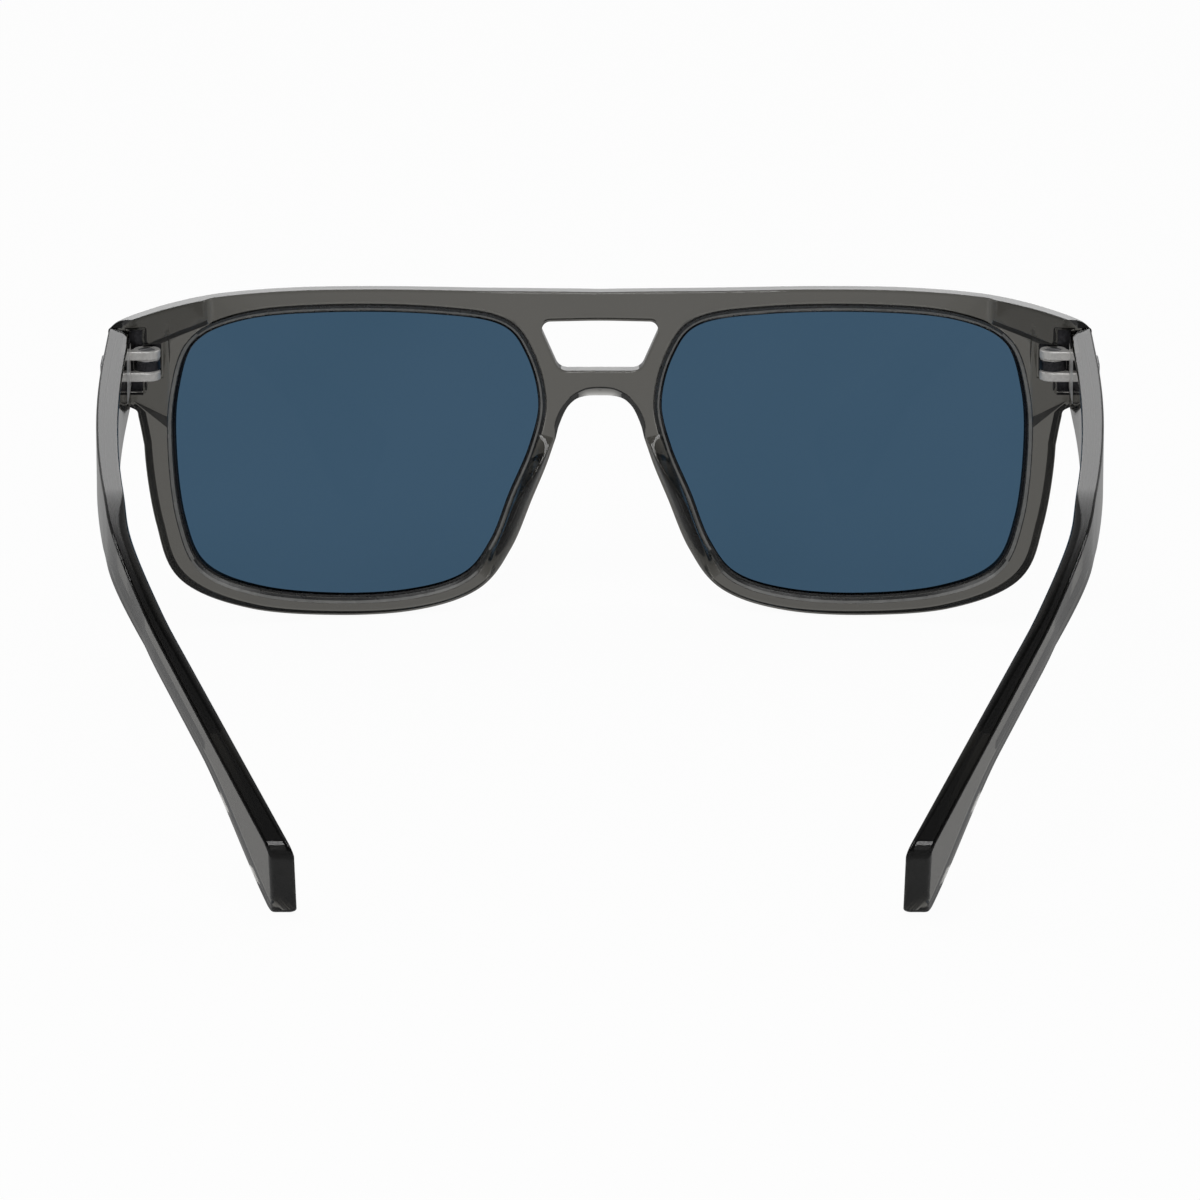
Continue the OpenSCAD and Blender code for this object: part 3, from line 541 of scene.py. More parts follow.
def front_cuts():
    """Loops and lines that the front's triangles follow: edges, creases, and the rounds beside them."""
    loops, lines = [domain, lens_edge], []
    past_top = BROW_MID + 2

    def add(*points):
        lines.append(np.array(points, float))

    for r in ROUND_AT:
        rounds = ((half_outline, REAR_R * r), (half_outline, FACE_R * r), (window_half, -WINDOW_EDGE * r))
        for edge, d in rounds:
            line = offset_line(edge, d, False)
            line[0], line[-1] = (0, edge[0][1] - d), (0, edge[-1][1] + d)
            lines.append(line)
        loops.append(lens_loop(RING_FACE * r))
    loops += [lens_loop(d) for d in (*RING_AT, RING_W, RING_W + RING_FADE / 2)]
    slope, _ = edge_normals(arch_run[:, :2], False)
    slope[-1] = (0, 1)
    wide = arch_run[:, 2] > 0.1
    for share, more in ((0.5, 0), (1, -ARCH_FLANK), (1, 0), (1, ARCH_FLANK)):
        reach = arch_run[:, 2] * ARCH_BEVEL * share + more
        lines.append((arch_run[:, :2] + slope * reach[:, None])[wide])
    for a in range(8, 90, 9):
        x = CORNER_X + CORNER_R * math.sin(math.radians(a))
        add((x, END_LOW - 4), (x, past_top))
    add((CORNER_T, END_LOW - 6), (CORNER_T, past_top))
    for s in (-1, 1):
        add(*(np.array([THICK_A, THICK_B]) + (0, s * RAMP / 2)))
        thick_x, flat_x = THICK_A[0] + s * THICK_FLANK, STEP_X + s * FLAT_FLANK
        add((thick_x, THICK_LOW - 0.4), (thick_x, past_top))
        add((flat_x, FOOT_A[1] - 0.3), (flat_x, past_top))
    for line in (END_LINE, (FLAT_A, FLAT_B), (FOOT_A, FLAT_B), (FLAT_B, (HALF_W + 1, FLAT_B[1]))):
        add(*line)
    for x0, x1, u0, u1 in POCKET:
        for m in (0, BAND):
            loops.append(np.array([[x0 + m, u0 + m], [x1 - m, u0 + m], [x1 - m, u1 - m], [x0 + m, u1 - m]]))
    return loops, lines


def front_fields(points, height):
    """Distances from the outline, the window and the lens opening for one face, and the ways away."""
    if height is rear_n:
        d_out, g_out = nearest(points, half_outline, False)
    else:
        (d1, g1), (d2, g2) = (nearest(points, line, False) for line in front_lines)
        d_out, g_out = np.where(d1 < d2, d1, d2), np.where((d1 < d2)[:, None], g1, g2)
    d_win, g_win = nearest(points, window_half, False)
    d_lens, g_lens = nearest(points, lens_edge)
    return (d_out, d_win, d_lens), (g_out, g_win, g_lens)


LOOK_IN, LOOK_SHARE, SLOPE_STEP = 0.004, 0.3, 0.0005


def front_normals(v, f, height, sign):
    """Normals of one face of the front at each triangle's corners, taken just inside the triangle."""
    p = v[f].reshape(-1, 2)
    way = np.repeat(v[f].mean(1), 3, 0) - p
    length = np.hypot(way[:, 0], way[:, 1])[:, None]
    q = p + way / length * np.minimum(LOOK_IN, LOOK_SHARE * length)
    d, g = front_fields(q, height)
    e = SLOPE_STEP
    h0 = height(q[:, 0], q[:, 1], *d)
    hx = height(q[:, 0] + e, q[:, 1], *(di + e * gi[:, 0] for di, gi in zip(d, g)))
    hu = height(q[:, 0], q[:, 1] + e, *(di + e * gi[:, 1] for di, gi in zip(d, g)))
    n = np.stack([-(hx - h0) / e, np.ones(len(q)), -(hu - h0) / e], 1) * sign
    return (n / np.linalg.norm(n, axis=1)[:, None]).reshape(-1, 3, 3)


FRONT_GRID, GRID_CLEAR = 1.5, 1.0
WALL_SMOOTH, SLAB_SMOOTH = 0.92, 0.9  # least cosine between two walls that shade as one


def front_mesh():
    loops, lines = front_cuts()
    grid = grid_in([domain, lens_edge], FRONT_GRID, 1.0, rim_floor - 2, BROW_MID + 3)
    far = np.minimum(nearest(grid, domain)[0], nearest(grid, lens_edge)[0])
    v, f = fill(loops, lines, grid[far > GRID_CLEAR], [domain, lens_edge])
    v[np.abs(v[:, 0]) < CLOSE, 0] = 0
    count = len(v)
    pts = []
    for height in (rear_n, outer_n):
        n = height(v[:, 0], v[:, 1], *front_fields(v, height)[0])
        pts.append(np.stack([v[:, 0], n, v[:, 1]], 1))
    faces = [tuple(t[::-1]) for t in f] + [tuple(t + count) for t in f]
    normals = [n for tri in front_normals(v, f, rear_n, 1) for n in tri[::-1]]
    normals += [n for tri in front_normals(v, f, outer_n, -1) for n in tri]

    # Walls between the two faces, with the lens groove in the openings
    rim = [e for e in boundary(f) if np.abs(v[list(e), 0]).max() >= TINY]
    before = {b: a for a, b in rim}
    flat = {a: unit(v[b] - v[a])[::-1] * (1, -1) for a, b in rim}

    def side_normal(i, edge):
        """Outward normal at a point of an edge, shared with the next edge unless they meet in a corner."""
        own = flat[edge]
        other = flat.get(i if i != edge else before.get(i, -1))
        if other is None:
            return np.array([0, math.copysign(1, own[1])])
        return own if own @ other < WALL_SMOOTH else unit(own + other)

    on_lens = nearest(v, lens_edge)[0] < CLOSE
    rear_wall, face_wall = (FRONT_T / 2 + s * LENS_T / 2 + s * LENS_PLAY for s in (1, -1))
    groove, total = {}, 2 * count
    for i in np.flatnonzero(on_lens):
        way = side_normal(i, i)
        for out, depth in ((0, rear_wall), (GROOVE, rear_wall), (GROOVE, face_wall), (0, face_wall)):
            x, u = v[i] - way * out
            pts.append(np.array([[x, float(face_n(x, depth)), u]]))
        groove[i] = range(total, total + 4)
        total += 4
    for a, b in rim:
        (ax, au), (bx, bu) = side_normal(a, a), side_normal(b, a)
        wall = [[ax, 0, au]] * 2 + [[bx, 0, bu]] * 2
        if on_lens[a] and on_lens[b]:
            ca, cb = [a, *groove[a], a + count], [b, *groove[b], b + count]
            for k, ledge in enumerate((0, -1, 0, 1, 0)):
                faces.append((ca[k + 1], ca[k], cb[k], cb[k + 1]))
                normals += [[0, ledge, 0]] * 4 if ledge else wall
        else:
            faces.append((a + count, a, b, b + count))
            normals += wall
    pts, normals = np.vstack(pts), np.array(normals, float)

    # Painted shade on the walls below the brow and the hinge flat and on the arch's edge; painted shade and
    # highlight on the lens ring's facets
    mid = v[f].mean(1)
    kinds = [0] * len(faces)
    for i in np.flatnonzero(shade_painted_wall(*mid.T) | arch_edge(*mid.T)):
        kinds[i] = 1
    gap, away = nearest(mid, lens_edge)
    for i in np.flatnonzero(gap < RING_W):
        kinds[i] = ring_kind(gap[i], away[i])

    # The other half, welded at the middle
    seam = np.abs(pts[:, 0]) < TINY
    new = np.where(seam, np.arange(total), 0)
    new[~seam] = total + np.arange((~seam).sum())
    twin, twin_faces, twin_normals, _ = mirrored((pts, faces, normals, None))
    faces += [tuple(new[i] for i in face) for face in twin_faces]
    all_pts, all_normals = np.vstack([pts, twin[~seam]]), np.vstack([normals, twin_normals])
    return from_front(*all_pts.T), faces, from_front(*all_normals.T), kinds * 2


# ---- lenses
GROUND_IN, GROUND_DROP, LENS_BEVEL, LENS_GRID = 0.35, 0.24, 0.12, 2.0


def lens_mesh():
    out = GROOVE - LENS_PLAY
    edge, inner, seam, clear = (lens_loop(d) for d in (out, out - LENS_BEVEL, 0, -GROUND_IN))
    grid = grid_in([edge], LENS_GRID, 0, -24, 26)
    grid = grid[nearest(grid, edge)[0] > out + 2 * GROUND_IN]
    v, f = fill([edge, inner, seam, clear], [], grid, [edge])
    d, inward = nearest(v, edge)
    drop = LENS_BEVEL * np.clip(1 - d / LENS_BEVEL, 0, 1)
    chamfer = GROUND_DROP * np.clip((out + GROUND_IN - d) / GROUND_IN, 0, 1)
    rear, face = FRONT_T / 2 + LENS_T / 2, FRONT_T / 2 - LENS_T / 2
    heights = face_n(v[:, 0], rear - np.maximum(drop, chamfer)), face_n(v[:, 0], face + drop)
    pts = [np.stack([v[:, 0], n, v[:, 1]], 1) for n in heights]
    faces, normals = [], []
    count, slope = len(v), GROUND_DROP / GROUND_IN
    on_chamfer = np.abs(nearest(v[f].mean(1), edge)[0] - out - GROUND_IN / 2) < GROUND_IN / 2
    for tri, leans in zip(f, on_chamfer):
        faces.append(tuple(tri[::-1]))
        for i in tri[::-1]:
            n = lens_normal(v[i][0], rear) - leans * slope * np.array([inward[i][0], 0, inward[i][1]])
            normals.append(n / np.linalg.norm(n))
    for tri in f:
        faces.append(tuple(tri + count))
        normals += [-lens_normal(v[i][0], face) for i in tri]
    for a, b in boundary(f):
        step = unit(v[b] - v[a])
        faces.append((a + count, a, b, b + count))
        normals += [np.array([step[1], 0, -step[0]])] * 4
    # The ground band at the lens's edge and its walls get a near-black stand-in: painted shade
    ground = [0 if k else 1 for k in inside(v[f].mean(1), [clear])]
    kinds = ground * 2 + [1] * (len(faces) - 2 * len(f))
    return from_front(*np.vstack(pts).T), faces, from_front(*np.array(normals).T), kinds


def lens_normal(x, depth):
    r = FRONT_R - depth
    return np.array([-x / r, math.sqrt(1 - (x / r) ** 2), 0])


# ---- nose pads
PAD_FIRST, PAD_LAST, PAD_STATIONS = 15.35, 12.3, 90
PAD_SKIN, PAD_ROOT = 0.02, -0.25
# Profile: from the outer edge to the crest as shares of that way, and from the crest to the inner edge
# as shares of the crest's place, each with the share of the pad's height there
PAD_OUT = [(0.93, 0.22), (0.75, 0.5), (0.5, 0.76), (0.25, 0.93), (0.08, 0.99)]
PAD_IN = [(0.95, 0.99), (0.8, 0.92), (0.55, 0.72), (0.3, 0.45), (0.1, 0.2)]


def pad_mesh():
    rings = []
    for k in range(PAD_STATIONS + 1):
        t = k / PAD_STATIONS
        s = lerp(PAD_FIRST, PAD_LAST, t)
        width = rim_width(s) - 2 * PAD_EDGE
        h = PAD_SKIN + (PAD_H - PAD_SKIN) * max(math.sin(math.pi * t**0.85), 0) ** 0.9
        if t < 0.5:
            c = lerp(0.9, 0.13, smooth(t / 0.5))
        else:
            c = lerp(0.13, 0.85, (max(t - 0.7, 0) / 0.3) ** 1.7)
        over = [(1, PAD_SKIN * h)] + [(lerp(c, 1, a), b * h) for a, b in PAD_OUT]
        over += [(c * a, b * h) for a, b in PAD_IN] + [(0, PAD_SKIN * h)]
        rings.append([])
        for share, height in [(1, PAD_ROOT), *open_curve(over, 3), (0, PAD_ROOT)]:
            p = lens_offset(s, PAD_EDGE + share * width)
            rings[-1].append([p[0], float(face_n(p[0], FRONT_T)) + height, p[1]])
    net = from_front(*np.array(rings).transpose(2, 0, 1))
    m = net.shape[1]
    n = np.cross(np.roll(net, -1, 1) - np.roll(net, 1, 1), np.gradient(net, axis=0))
    n /= np.linalg.norm(n, axis=2)[..., None]
    faces, normals = net_faces(n, (0, 3, 2, 1))
    caps = [tuple(reversed(range(m))), tuple(PAD_STATIONS * m + i for i in range(m))]
    cap_normals = [np.array([0, 0, 1.0])] * m + [np.array([0, 0, -1.0])] * m
    return net.reshape(-1, 3), caps + faces, cap_normals + normals, None


# ---- temples
BEND_L = BEND_R * BEND_A
TOTAL = STRAIGHT_L + BEND_L + EAR_L
TURN_START, BOW_START = JOINT_Y + TURN_FROM, JOINT_Y + BOW_FROM
TURN_A0 = math.asin((TURN_START - BOW_START) / BOW_R)
TURN_END = TURN_START + TURN_R * (math.sin(TURN_A) - math.sin(TURN_A0))
FLARE_START = TOTAL - FLARE_L
EDGE_R, WIRE_EDGE_R, MITRE_EDGE = 0.4, 0.3, 0.06
RING_STEP, WIRE_STEP = 3.0, 1.2
TIP_FACE_R, TIP_SHORT, TIP_STEPS = 0.45, 0.03, 12
BEND_EDGE_R, TIP_EDGE_R = 2.0, 0.9


def edge_at(s):
    """Point of the temple's outer top edge at a run s behind the joint, its bend and its inward lean."""
    g = BEND_A * min(max(s - STRAIGHT_L, 0) / BEND_L, 1)
    ear = max(s - STRAIGHT_L - BEND_L, 0)
    y = JOINT_Y + min(s, STRAIGHT_L) + BEND_R * math.sin(g) + ear * math.cos(BEND_A)
    z = TEMPLE_TOP - BEND_R * (1 - math.cos(g)) - ear * math.sin(BEND_A)
    if y < TURN_START:
        turn = math.asin(max(y - BOW_START, 0) / BOW_R)
    else:
        turn = math.asin(min(math.sin(TURN_A0) + (y - TURN_START) / TURN_R, math.sin(TURN_A)))
    x = HALF_W - BOW_R * (1 - math.cos(min(turn, TURN_A0)))
    x -= TURN_R * (math.cos(TURN_A0) - math.cos(max(turn, TURN_A0)))
    return (x - max(y - TURN_END, 0) * math.tan(TURN_A), y, z), g, math.tan(turn) * math.cos(g)


def bar_h(s):
    if s < STRAIGHT_L:
        return lerp(TEMPLE_H, NECK_H, s / STRAIGHT_L)
    return lerp(NECK_H, TIP_H, float(smooth((s - FLARE_START) / FLARE_L)))


def bar_t(s):
    straight = STRAIGHT_L + BEND_L
    if s < straight:
        return lerp(TEMPLE_T, NECK_T, float(smooth((s - BOW_FROM) / (straight - BOW_FROM))))
    return lerp(NECK_T, TIP_T, (s - straight) / EAR_L)


def inner_r(s):
    """Radius of the temple's inner edges: roundest at the bend."""
    ear = lerp(BEND_EDGE_R, TIP_EDGE_R, max(s - STRAIGHT_L - BEND_L, 0) / EAR_L)
    return lerp(EDGE_R, ear, float(smooth((s - STRAIGHT_L) / BEND_L * 2)))


def round_rect(a0, a1, b0, b1, outer, steps=6, inner=None):
    """Points and directions of a rectangle with rounded corners; inner is the radius at a1."""
    pts, ways = [], []
    wide = inner or outer
    for a, b, r, g0 in ((a0, b0, outer, 180), (a1, b0, wide, 270), (a1, b1, wide, 0), (a0, b1, outer, 90)):
        ca, cb = a + (r if a == a0 else -r), b + (r if b == b0 else -r)
        for k in range(steps + 1):
            g = math.radians(g0 + 90 * k / steps)
            pts.append((ca + r * math.cos(g), cb + r * math.sin(g)))
            ways.append((-math.sin(g), math.cos(g)))
    return np.array(pts), np.array(ways)


def bar_ring(s, section, slide=None):
    """Points and directions of a section at a run s: a goes inward from the outside, b down from the top."""
    (x, y, z), g, lean = edge_at(s)
    wide = math.sqrt(1 + lean * lean)
    (a, b), (wa, wb) = section[0].T, section[1].T
    ring = np.stack([x - a * wide, y - b * math.sin(g), z - b * math.cos(g)], 1)
    if slide is not None:
        ring[:, 1] = slide(ring[:, 0])
    return ring, np.stack([-wa * wide, -wb * math.sin(g), -wb * math.cos(g)], 1)


def sweep(rings):
    """Closed skin over rings with equal counts of points, with corner normals."""
    pts = np.array([r for r, _ in rings])
    ways = np.array([w for _, w in rings])
    along = np.empty_like(pts)
    along[1:-1], along[0], along[-1] = pts[2:] - pts[:-2], pts[1] - pts[0], pts[-1] - pts[-2]
    n = np.cross(along, ways)
    n /= np.linalg.norm(n, axis=2)[..., None]
    m, last = pts.shape[1], len(pts) - 1
    caps, normals = [tuple(range(m)), tuple(last * m + i for i in reversed(range(m)))], []
    for j, sign in ((0, -1), (last, 1)):
        flat = np.cross(pts[j, m // 2] - pts[j, 0], pts[j, 3 * m // 4] - pts[j, m // 4])
        flat *= sign * math.copysign(1, flat[1]) / np.linalg.norm(flat)
        normals += [flat] * m
    faces, face_normals = net_faces(n, (0, 1, 2, 3))
    return pts.reshape(-1, 3), caps + faces, normals + face_normals, None


def temple_mesh():
    def mitred(x):
        return JOINT_Y - (x - TEMPLE_IN) * MITRE / TEMPLE_T

    e = MITRE_EDGE
    rings = [
        bar_ring(0, round_rect(e, TEMPLE_T - e, e, TEMPLE_H - e, EDGE_R), mitred),
        bar_ring(0, round_rect(0, TEMPLE_T, 0, TEMPLE_H, EDGE_R), lambda x: mitred(x) + e),
    ]
    ear = STRAIGHT_L + BEND_L
    places = [
        np.arange(2.0, STRAIGHT_L, RING_STEP), np.linspace(STRAIGHT_L, ear, 29),
        np.linspace(ear, FLARE_START, 9)[1:], np.linspace(FLARE_START, TOTAL - TIP_R, 17)[1:],
    ]
    for s in np.concatenate(places):
        rings.append(bar_ring(s, round_rect(0, bar_t(s), 0, bar_h(s), EDGE_R, inner=inner_r(s))))
    for k in range(1, TIP_STEPS + 1):
        g = math.pi / 2 * k / TIP_STEPS
        left = TIP_R * (1 - math.sin(g))
        inset = float(fillet(np.array(left), TIP_FACE_R))
        s, b = TOTAL - TIP_SHORT - left, TIP_R * (1 - math.cos(g))
        section = round_rect(inset, bar_t(s) - inset, b, bar_h(s) - b, EDGE_R, inner=inner_r(s))
        rings.append(bar_ring(s, section))
    return sweep(rings)


def wire_mesh():
    a0 = TEMPLE_T - TEMPLE_PLATE_T - WIRE_SKIN - WIRE_T
    section = round_rect(a0, a0 + WIRE_T, WIRE_DOWN, WIRE_DOWN + WIRE_H, WIRE_EDGE_R, 4)
    end = TOTAL - WIRE_SHORT
    places = [SET_BACK, *np.arange(3, STRAIGHT_L, RING_STEP), *np.arange(STRAIGHT_L, end, WIRE_STEP), end]
    return sweep([bar_ring(s, section) for s in places])


# ---- slabs: hinge parts, screw, plaque
# Play and bevels of the small parts, and how far one sinks into the next
PLAY_HEAD, PLAY_SHANK, PLAY_BORE, SINK = 0.06, 0.02, 0.05, 0.01
LUG_BEVEL, KNUCKLE_BEVEL, PLATE_BEVEL, WASHER_BEVEL, PLAQUE_BEVEL = 0.12, 0.08, 0.05, 0.03, 0.15
SLOT_TURN = math.radians(35)


def slab(outline, holes, z0, z1, bevel, place):
    """Plate from z0 to z1 with bevelled edges and holes through it; place turns (a, b, c) into points."""
    loops = [np.asarray(loop, float) for loop in (outline, *holes)]
    signs = [1] + [-1] * len(holes)
    turned = [np.roll(loop, -1, 0) for loop in loops]
    area = [np.sum(a[:, 0] * b[:, 1] - b[:, 0] * a[:, 1]) for a, b in zip(loops, turned)]
    loops = [loop if a > 0 else loop[::-1] for loop, a in zip(loops, area)]
    inner = [offset_line(loop, -bevel * s) for loop, s in zip(loops, signs)]
    v, f = fill(inner, [], [], inner)
    pts = [np.column_stack([v, np.full(len(v), z)]) for z in (z1, z0)]
    faces = [tuple(t) for t in f] + [tuple(t[::-1] + len(v)) for t in f]
    normals = [[0, 0, 1]] * (3 * len(f)) + [[0, 0, -1]] * (3 * len(f))
    total = 2 * len(v)
    for loop, ins, s in zip(loops, inner, signs):
        m = len(loop)
        shared = edge_normals(loop)[0] * s
        own = unit(np.roll(loop, -1, 0) - loop)[:, ::-1] * (s, -s)
        ids = []
        for line, z in ((ins, z1), (loop, z1 - bevel), (loop, z0 + bevel), (ins, z0)):
            pts.append(np.column_stack([line, np.full(m, z)]))
            ids.append(total + np.arange(m))
            total += m
        for k, tilt in enumerate((1, 0, -1)):
            for i in range(m):
                j = (i + 1) % m
                sides = (shared[q] if shared[q] @ own[i] > SLAB_SMOOTH else own[i] for q in (i, j))
                ca, cb = (np.append(side, tilt) for side in sides)
                quad, corners = [ids[k][i], ids[k + 1][i], ids[k + 1][j], ids[k][j]], [ca, ca, cb, cb]
                faces.append(tuple(quad[::s]))
                normals += [c / np.linalg.norm(c) for c in corners[::s]]
    base = place(np.zeros((1, 3)))
    return place(np.vstack(pts)), faces, list(place(np.array(normals, float)) - base), None


def circle(r, cx=0.0, cy=0.0, steps=48, a0=0.0, a1=360.0):
    """Points of a circle, or of an arc from a0 to a1 with both its ends."""
    count = steps if a1 - a0 == 360 else steps + 1
    g = np.radians(a0 + (a1 - a0) * np.arange(count) / steps)
    return np.stack([cx + r * np.cos(g), cy + r * np.sin(g)], 1)


def joined(parts):
    """One mesh from several."""
    verts, faces, normals, at = [], [], [], 0
    for v, f, n, _ in parts:
        verts.append(v)
        faces += [tuple(i + at for i in face) for face in f]
        normals += list(n)
        at += len(v)
    return np.vstack(verts), faces, normals, None


def placed(origin, *axes):
    """Turns (a, b, c) into points, from the place of (0, 0, 0) and the three axes' ways."""
    return lambda p: np.array(origin) + p @ np.array(axes)


def on_axis(r, *arc):
    """Circle or arc round the hinge's axis."""
    return circle(r, AXIS_X, JOINT_Y, *arc)


def leaf_mesh():
    """Temple half of the hinge: two lugs and the let-in plate."""
    parts = []
    y0, z0, back = JOINT_Y + SET_BACK, HINGE_MID - TEMPLE_PLATE_H / 2, JOINT_Y + BARREL_R
    for low, bore in ((HINGE_LOW, SCREW_R + PLAY_SHANK), (HINGE_TOP - LUG_T, HEAD_R + PLAY_HEAD)):
        outline = np.vstack([
            on_axis(BARREL_R, 40, 90, 360),
            [[TEMPLE_IN - 0.12, JOINT_Y + 0.02], [TEMPLE_IN - 0.12, y0], [TEMPLE_IN + 0.3, y0],
             [TEMPLE_IN + 0.3, back]],
        ])
        parts.append(slab(outline, [on_axis(bore)], low, low + LUG_T, LUG_BEVEL, np.asarray))

    on_side = placed((TEMPLE_IN, y0, z0), (0, 1, 0), (0, 0, 1), (1, 0, 0))
    w, h = TEMPLE_PLATE_L, TEMPLE_PLATE_H
    rect = rounded([(0, 0, 0.2), (w, 0, 0.8), (w, h, 0.8), (0, h, 0.2)], steps=4)
    parts.append(slab(rect, [], -SINK, TEMPLE_PLATE_T, PLATE_BEVEL, on_side))
    return joined(parts)


KNUCKLE_LOW = HINGE_LOW + LUG_T + WASHER_T + 2 * WASHER_PLAY


def front_leaf_mesh():
    """Front half of the hinge: let-in plate, neck and middle knuckle."""
    z0 = HINGE_MID - FRONT_PLATE_H / 2
    x0, x1 = AXIS_X - BARREL_R, TEMPLE_IN + PLATE_UNDER
    facing = placed((x1, PLATE_BACK - FRONT_PLATE_T, z0), (-1, 0, 0), (0, 0, 1), (0, 1, 0))
    w, wing = x1 - x0, x1 - AXIS_X - WING_IN
    low, high = HINGE_LOW - BARREL_GAP - z0, HINGE_TOP + BARREL_GAP - z0
    rect = rounded([
        (0, 0, 0.2), (wing, 0, 0.4), (wing, low, 0.2), (w, low, 0.4), (w, high, 0.4), (wing, high, 0.2),
        (wing, FRONT_PLATE_H, 0.4), (0, FRONT_PLATE_H, 0.2),
    ], steps=4)
    neck, root = 0.75 * BARREL_R, PLATE_BACK - 0.3
    outline = np.vstack([on_axis(BARREL_R, 40, -41, 221), [[AXIS_X - neck, root], [AXIS_X + neck, root]]])
    bore, top = on_axis(SCREW_R + PLAY_BORE), KNUCKLE_LOW + KNUCKLE_T
    return joined([
        slab(rect, [], 0, FRONT_PLATE_T, PLATE_BEVEL, facing),
        slab(outline, [bore], KNUCKLE_LOW, top, KNUCKLE_BEVEL, np.asarray),
    ])


def washer_mesh():
    rim, bore = on_axis(BARREL_R - WASHER_IN), on_axis(SCREW_R + PLAY_BORE)
    lows = (HINGE_LOW + LUG_T + WASHER_PLAY, KNUCKLE_LOW + KNUCKLE_T + WASHER_PLAY)
    return joined([slab(rim, [bore], low, low + WASHER_T, WASHER_BEVEL, np.asarray) for low in lows])


def screw_mesh():
    """Shank, and a head with a driver slot cut across it."""
    a = math.degrees(math.asin(SLOT_W / 2 / HEAD_R))
    top, floor, neck = HINGE_TOP - 0.05, HINGE_TOP - HEAD_H / 2, HINGE_TOP - HEAD_H
    c, s = math.cos(SLOT_TURN), math.sin(SLOT_TURN)
    turned = placed((AXIS_X, JOINT_Y, 0), (c, s, 0), (-s, c, 0), (0, 0, 1))
    halves = [circle(HEAD_R, 0, 0, 30, start + a, start + 180 - a) for start in (0, 180)]
    return joined([
        slab(circle(SCREW_R), [], HINGE_LOW + 0.02, neck, 0.05, turned),
        slab(circle(HEAD_R), [], neck, floor, 0.02, turned),
        *(slab(half, [], floor - SINK, top, 0.07, turned) for half in halves),
    ])


def plaque_mesh():
    h, w, r = PLAQUE_H / 2, PLAQUE_L / 2, PLAQUE_H / 6
    place = (HALF_W, JOINT_Y + PLAQUE_Y, TEMPLE_TOP - PLAQUE_DOWN)
    outside = placed(place, (0, 1, 0), (0, 0, 1), (1, 0, 0))
    rect = rounded([(-w, -h, r), (w, -h, r), (w, h, r), (-w, h, r)], steps=6)
    return slab(rect, [], -0.05, PLAQUE_T, PLAQUE_BEVEL, outside)


# ---- materials
def principled(name, **sockets):
    mat = bpy.data.materials.new(name)
    mat.use_nodes = True
    shader = mat.node_tree.nodes["Principled BSDF"]
    for key, value in sockets.items():
        shader.inputs[key.replace("_", " ")].default_value = value
    return mat, mat.node_tree, shader


def shader_node(tree, kind, inputs, operation=None):
    """New node whose inputs are linked to a socket, or set to a value."""
    made = tree.nodes.new(kind)
    if operation:
        made.operation = operation
    for key, value in inputs.items():
        if isinstance(value, bpy.types.NodeSocket):
            tree.links.new(value, made.inputs[key])
        else:
            made.inputs[key].default_value = value
    return made


def maths(tree, operation, *values):
    """Result of a Math node on sockets and numbers."""
    return shader_node(tree, "ShaderNodeMath", dict(enumerate(values)), operation).outputs[0]


def noise(tree, scale, detail):
    """Noise in object space: every piece's object sits at the origin, so scale counts per metre."""
    coord = shader_node(tree, "ShaderNodeTexCoord", {}).outputs["Object"]
    return shader_node(tree, "ShaderNodeTexNoise", {"Scale": scale, "Detail": detail, "Vector": coord})


NOISE_LOW, NOISE_HIGH = 0.3, 0.7  # the noise's usual reach


def ramp_to(tree, tex, socket, low, high):
    """Drive a socket from low to high with a noise."""
    mapped = shader_node(tree, "ShaderNodeMapRange", {
        "From Min": NOISE_LOW, "From Max": NOISE_HIGH, "To Min": low, "To Max": high,
        "Value": tex.outputs["Fac"],
    })
    tree.links.new(mapped.outputs["Result"], socket)


def colour_to(tree, tex, socket, low, high):
    """Drive a colour from low to high with a noise."""
    ramp = shader_node(tree, "ShaderNodeValToRGB", {"Fac": tex.outputs["Fac"]})
    for element, place, colour in zip(ramp.color_ramp.elements, (NOISE_LOW, NOISE_HIGH), (low, high)):
        element.position = place
        element.color = (*colour, 1)
    tree.links.new(ramp.outputs["Color"], socket)


def varied(name, low, high, rough, colour_noise, rough_noise, **sockets):
    """Material whose colour and roughness vary with a noise each, given by its scale and detail."""
    mat, tree, shader = principled(name, **sockets)
    tex = noise(tree, *colour_noise)
    colour_to(tree, tex, shader.inputs["Base Color"], low, high)
    ramp_to(tree, noise(tree, *rough_noise), shader.inputs["Roughness"], *rough)
    return mat, tree, shader, tex


def plastic():
    """Clear plastic that gets its warm grey from its depth."""
    mat, tree, *_ = varied(
        "grey_plastic", (0.93, 0.925, 0.91), (0.97, 0.965, 0.95), (0.02, 0.05), (40, 2), (90, 2),
        IOR=1.49, Transmission_Weight=1.0,
    )
    soak = shader_node(tree, "ShaderNodeVolumeAbsorption", {"Color": (0.52, 0.515, 0.5, 1), "Density": 1100})
    tree.links.new(soak.outputs["Volume"], tree.nodes["Material Output"].inputs["Volume"])
    return mat


def tinted():
    """Dark blue lens; its low IOR keeps what shows through it nearly straight."""
    return varied(
        "blue_lens", (0.046, 0.096, 0.152), (0.05, 0.101, 0.16), (0.0, 0.02), (30, 2), (120, 2),
        IOR=1.12, Transmission_Weight=1.0,
    )[0]


def steel(name, low, high, rough, metallic=1.0):
    mat, tree, shader, grain = varied(name, low, high, rough, (2600, 4), (900, 3), Metallic=metallic)
    bump = shader_node(tree, "ShaderNodeBump", {
        "Strength": 0.15, "Distance": 0.00002, "Height": grain.outputs["Fac"],
    })
    tree.links.new(bump.outputs["Normal"], shader.inputs["Normal"])
    return mat


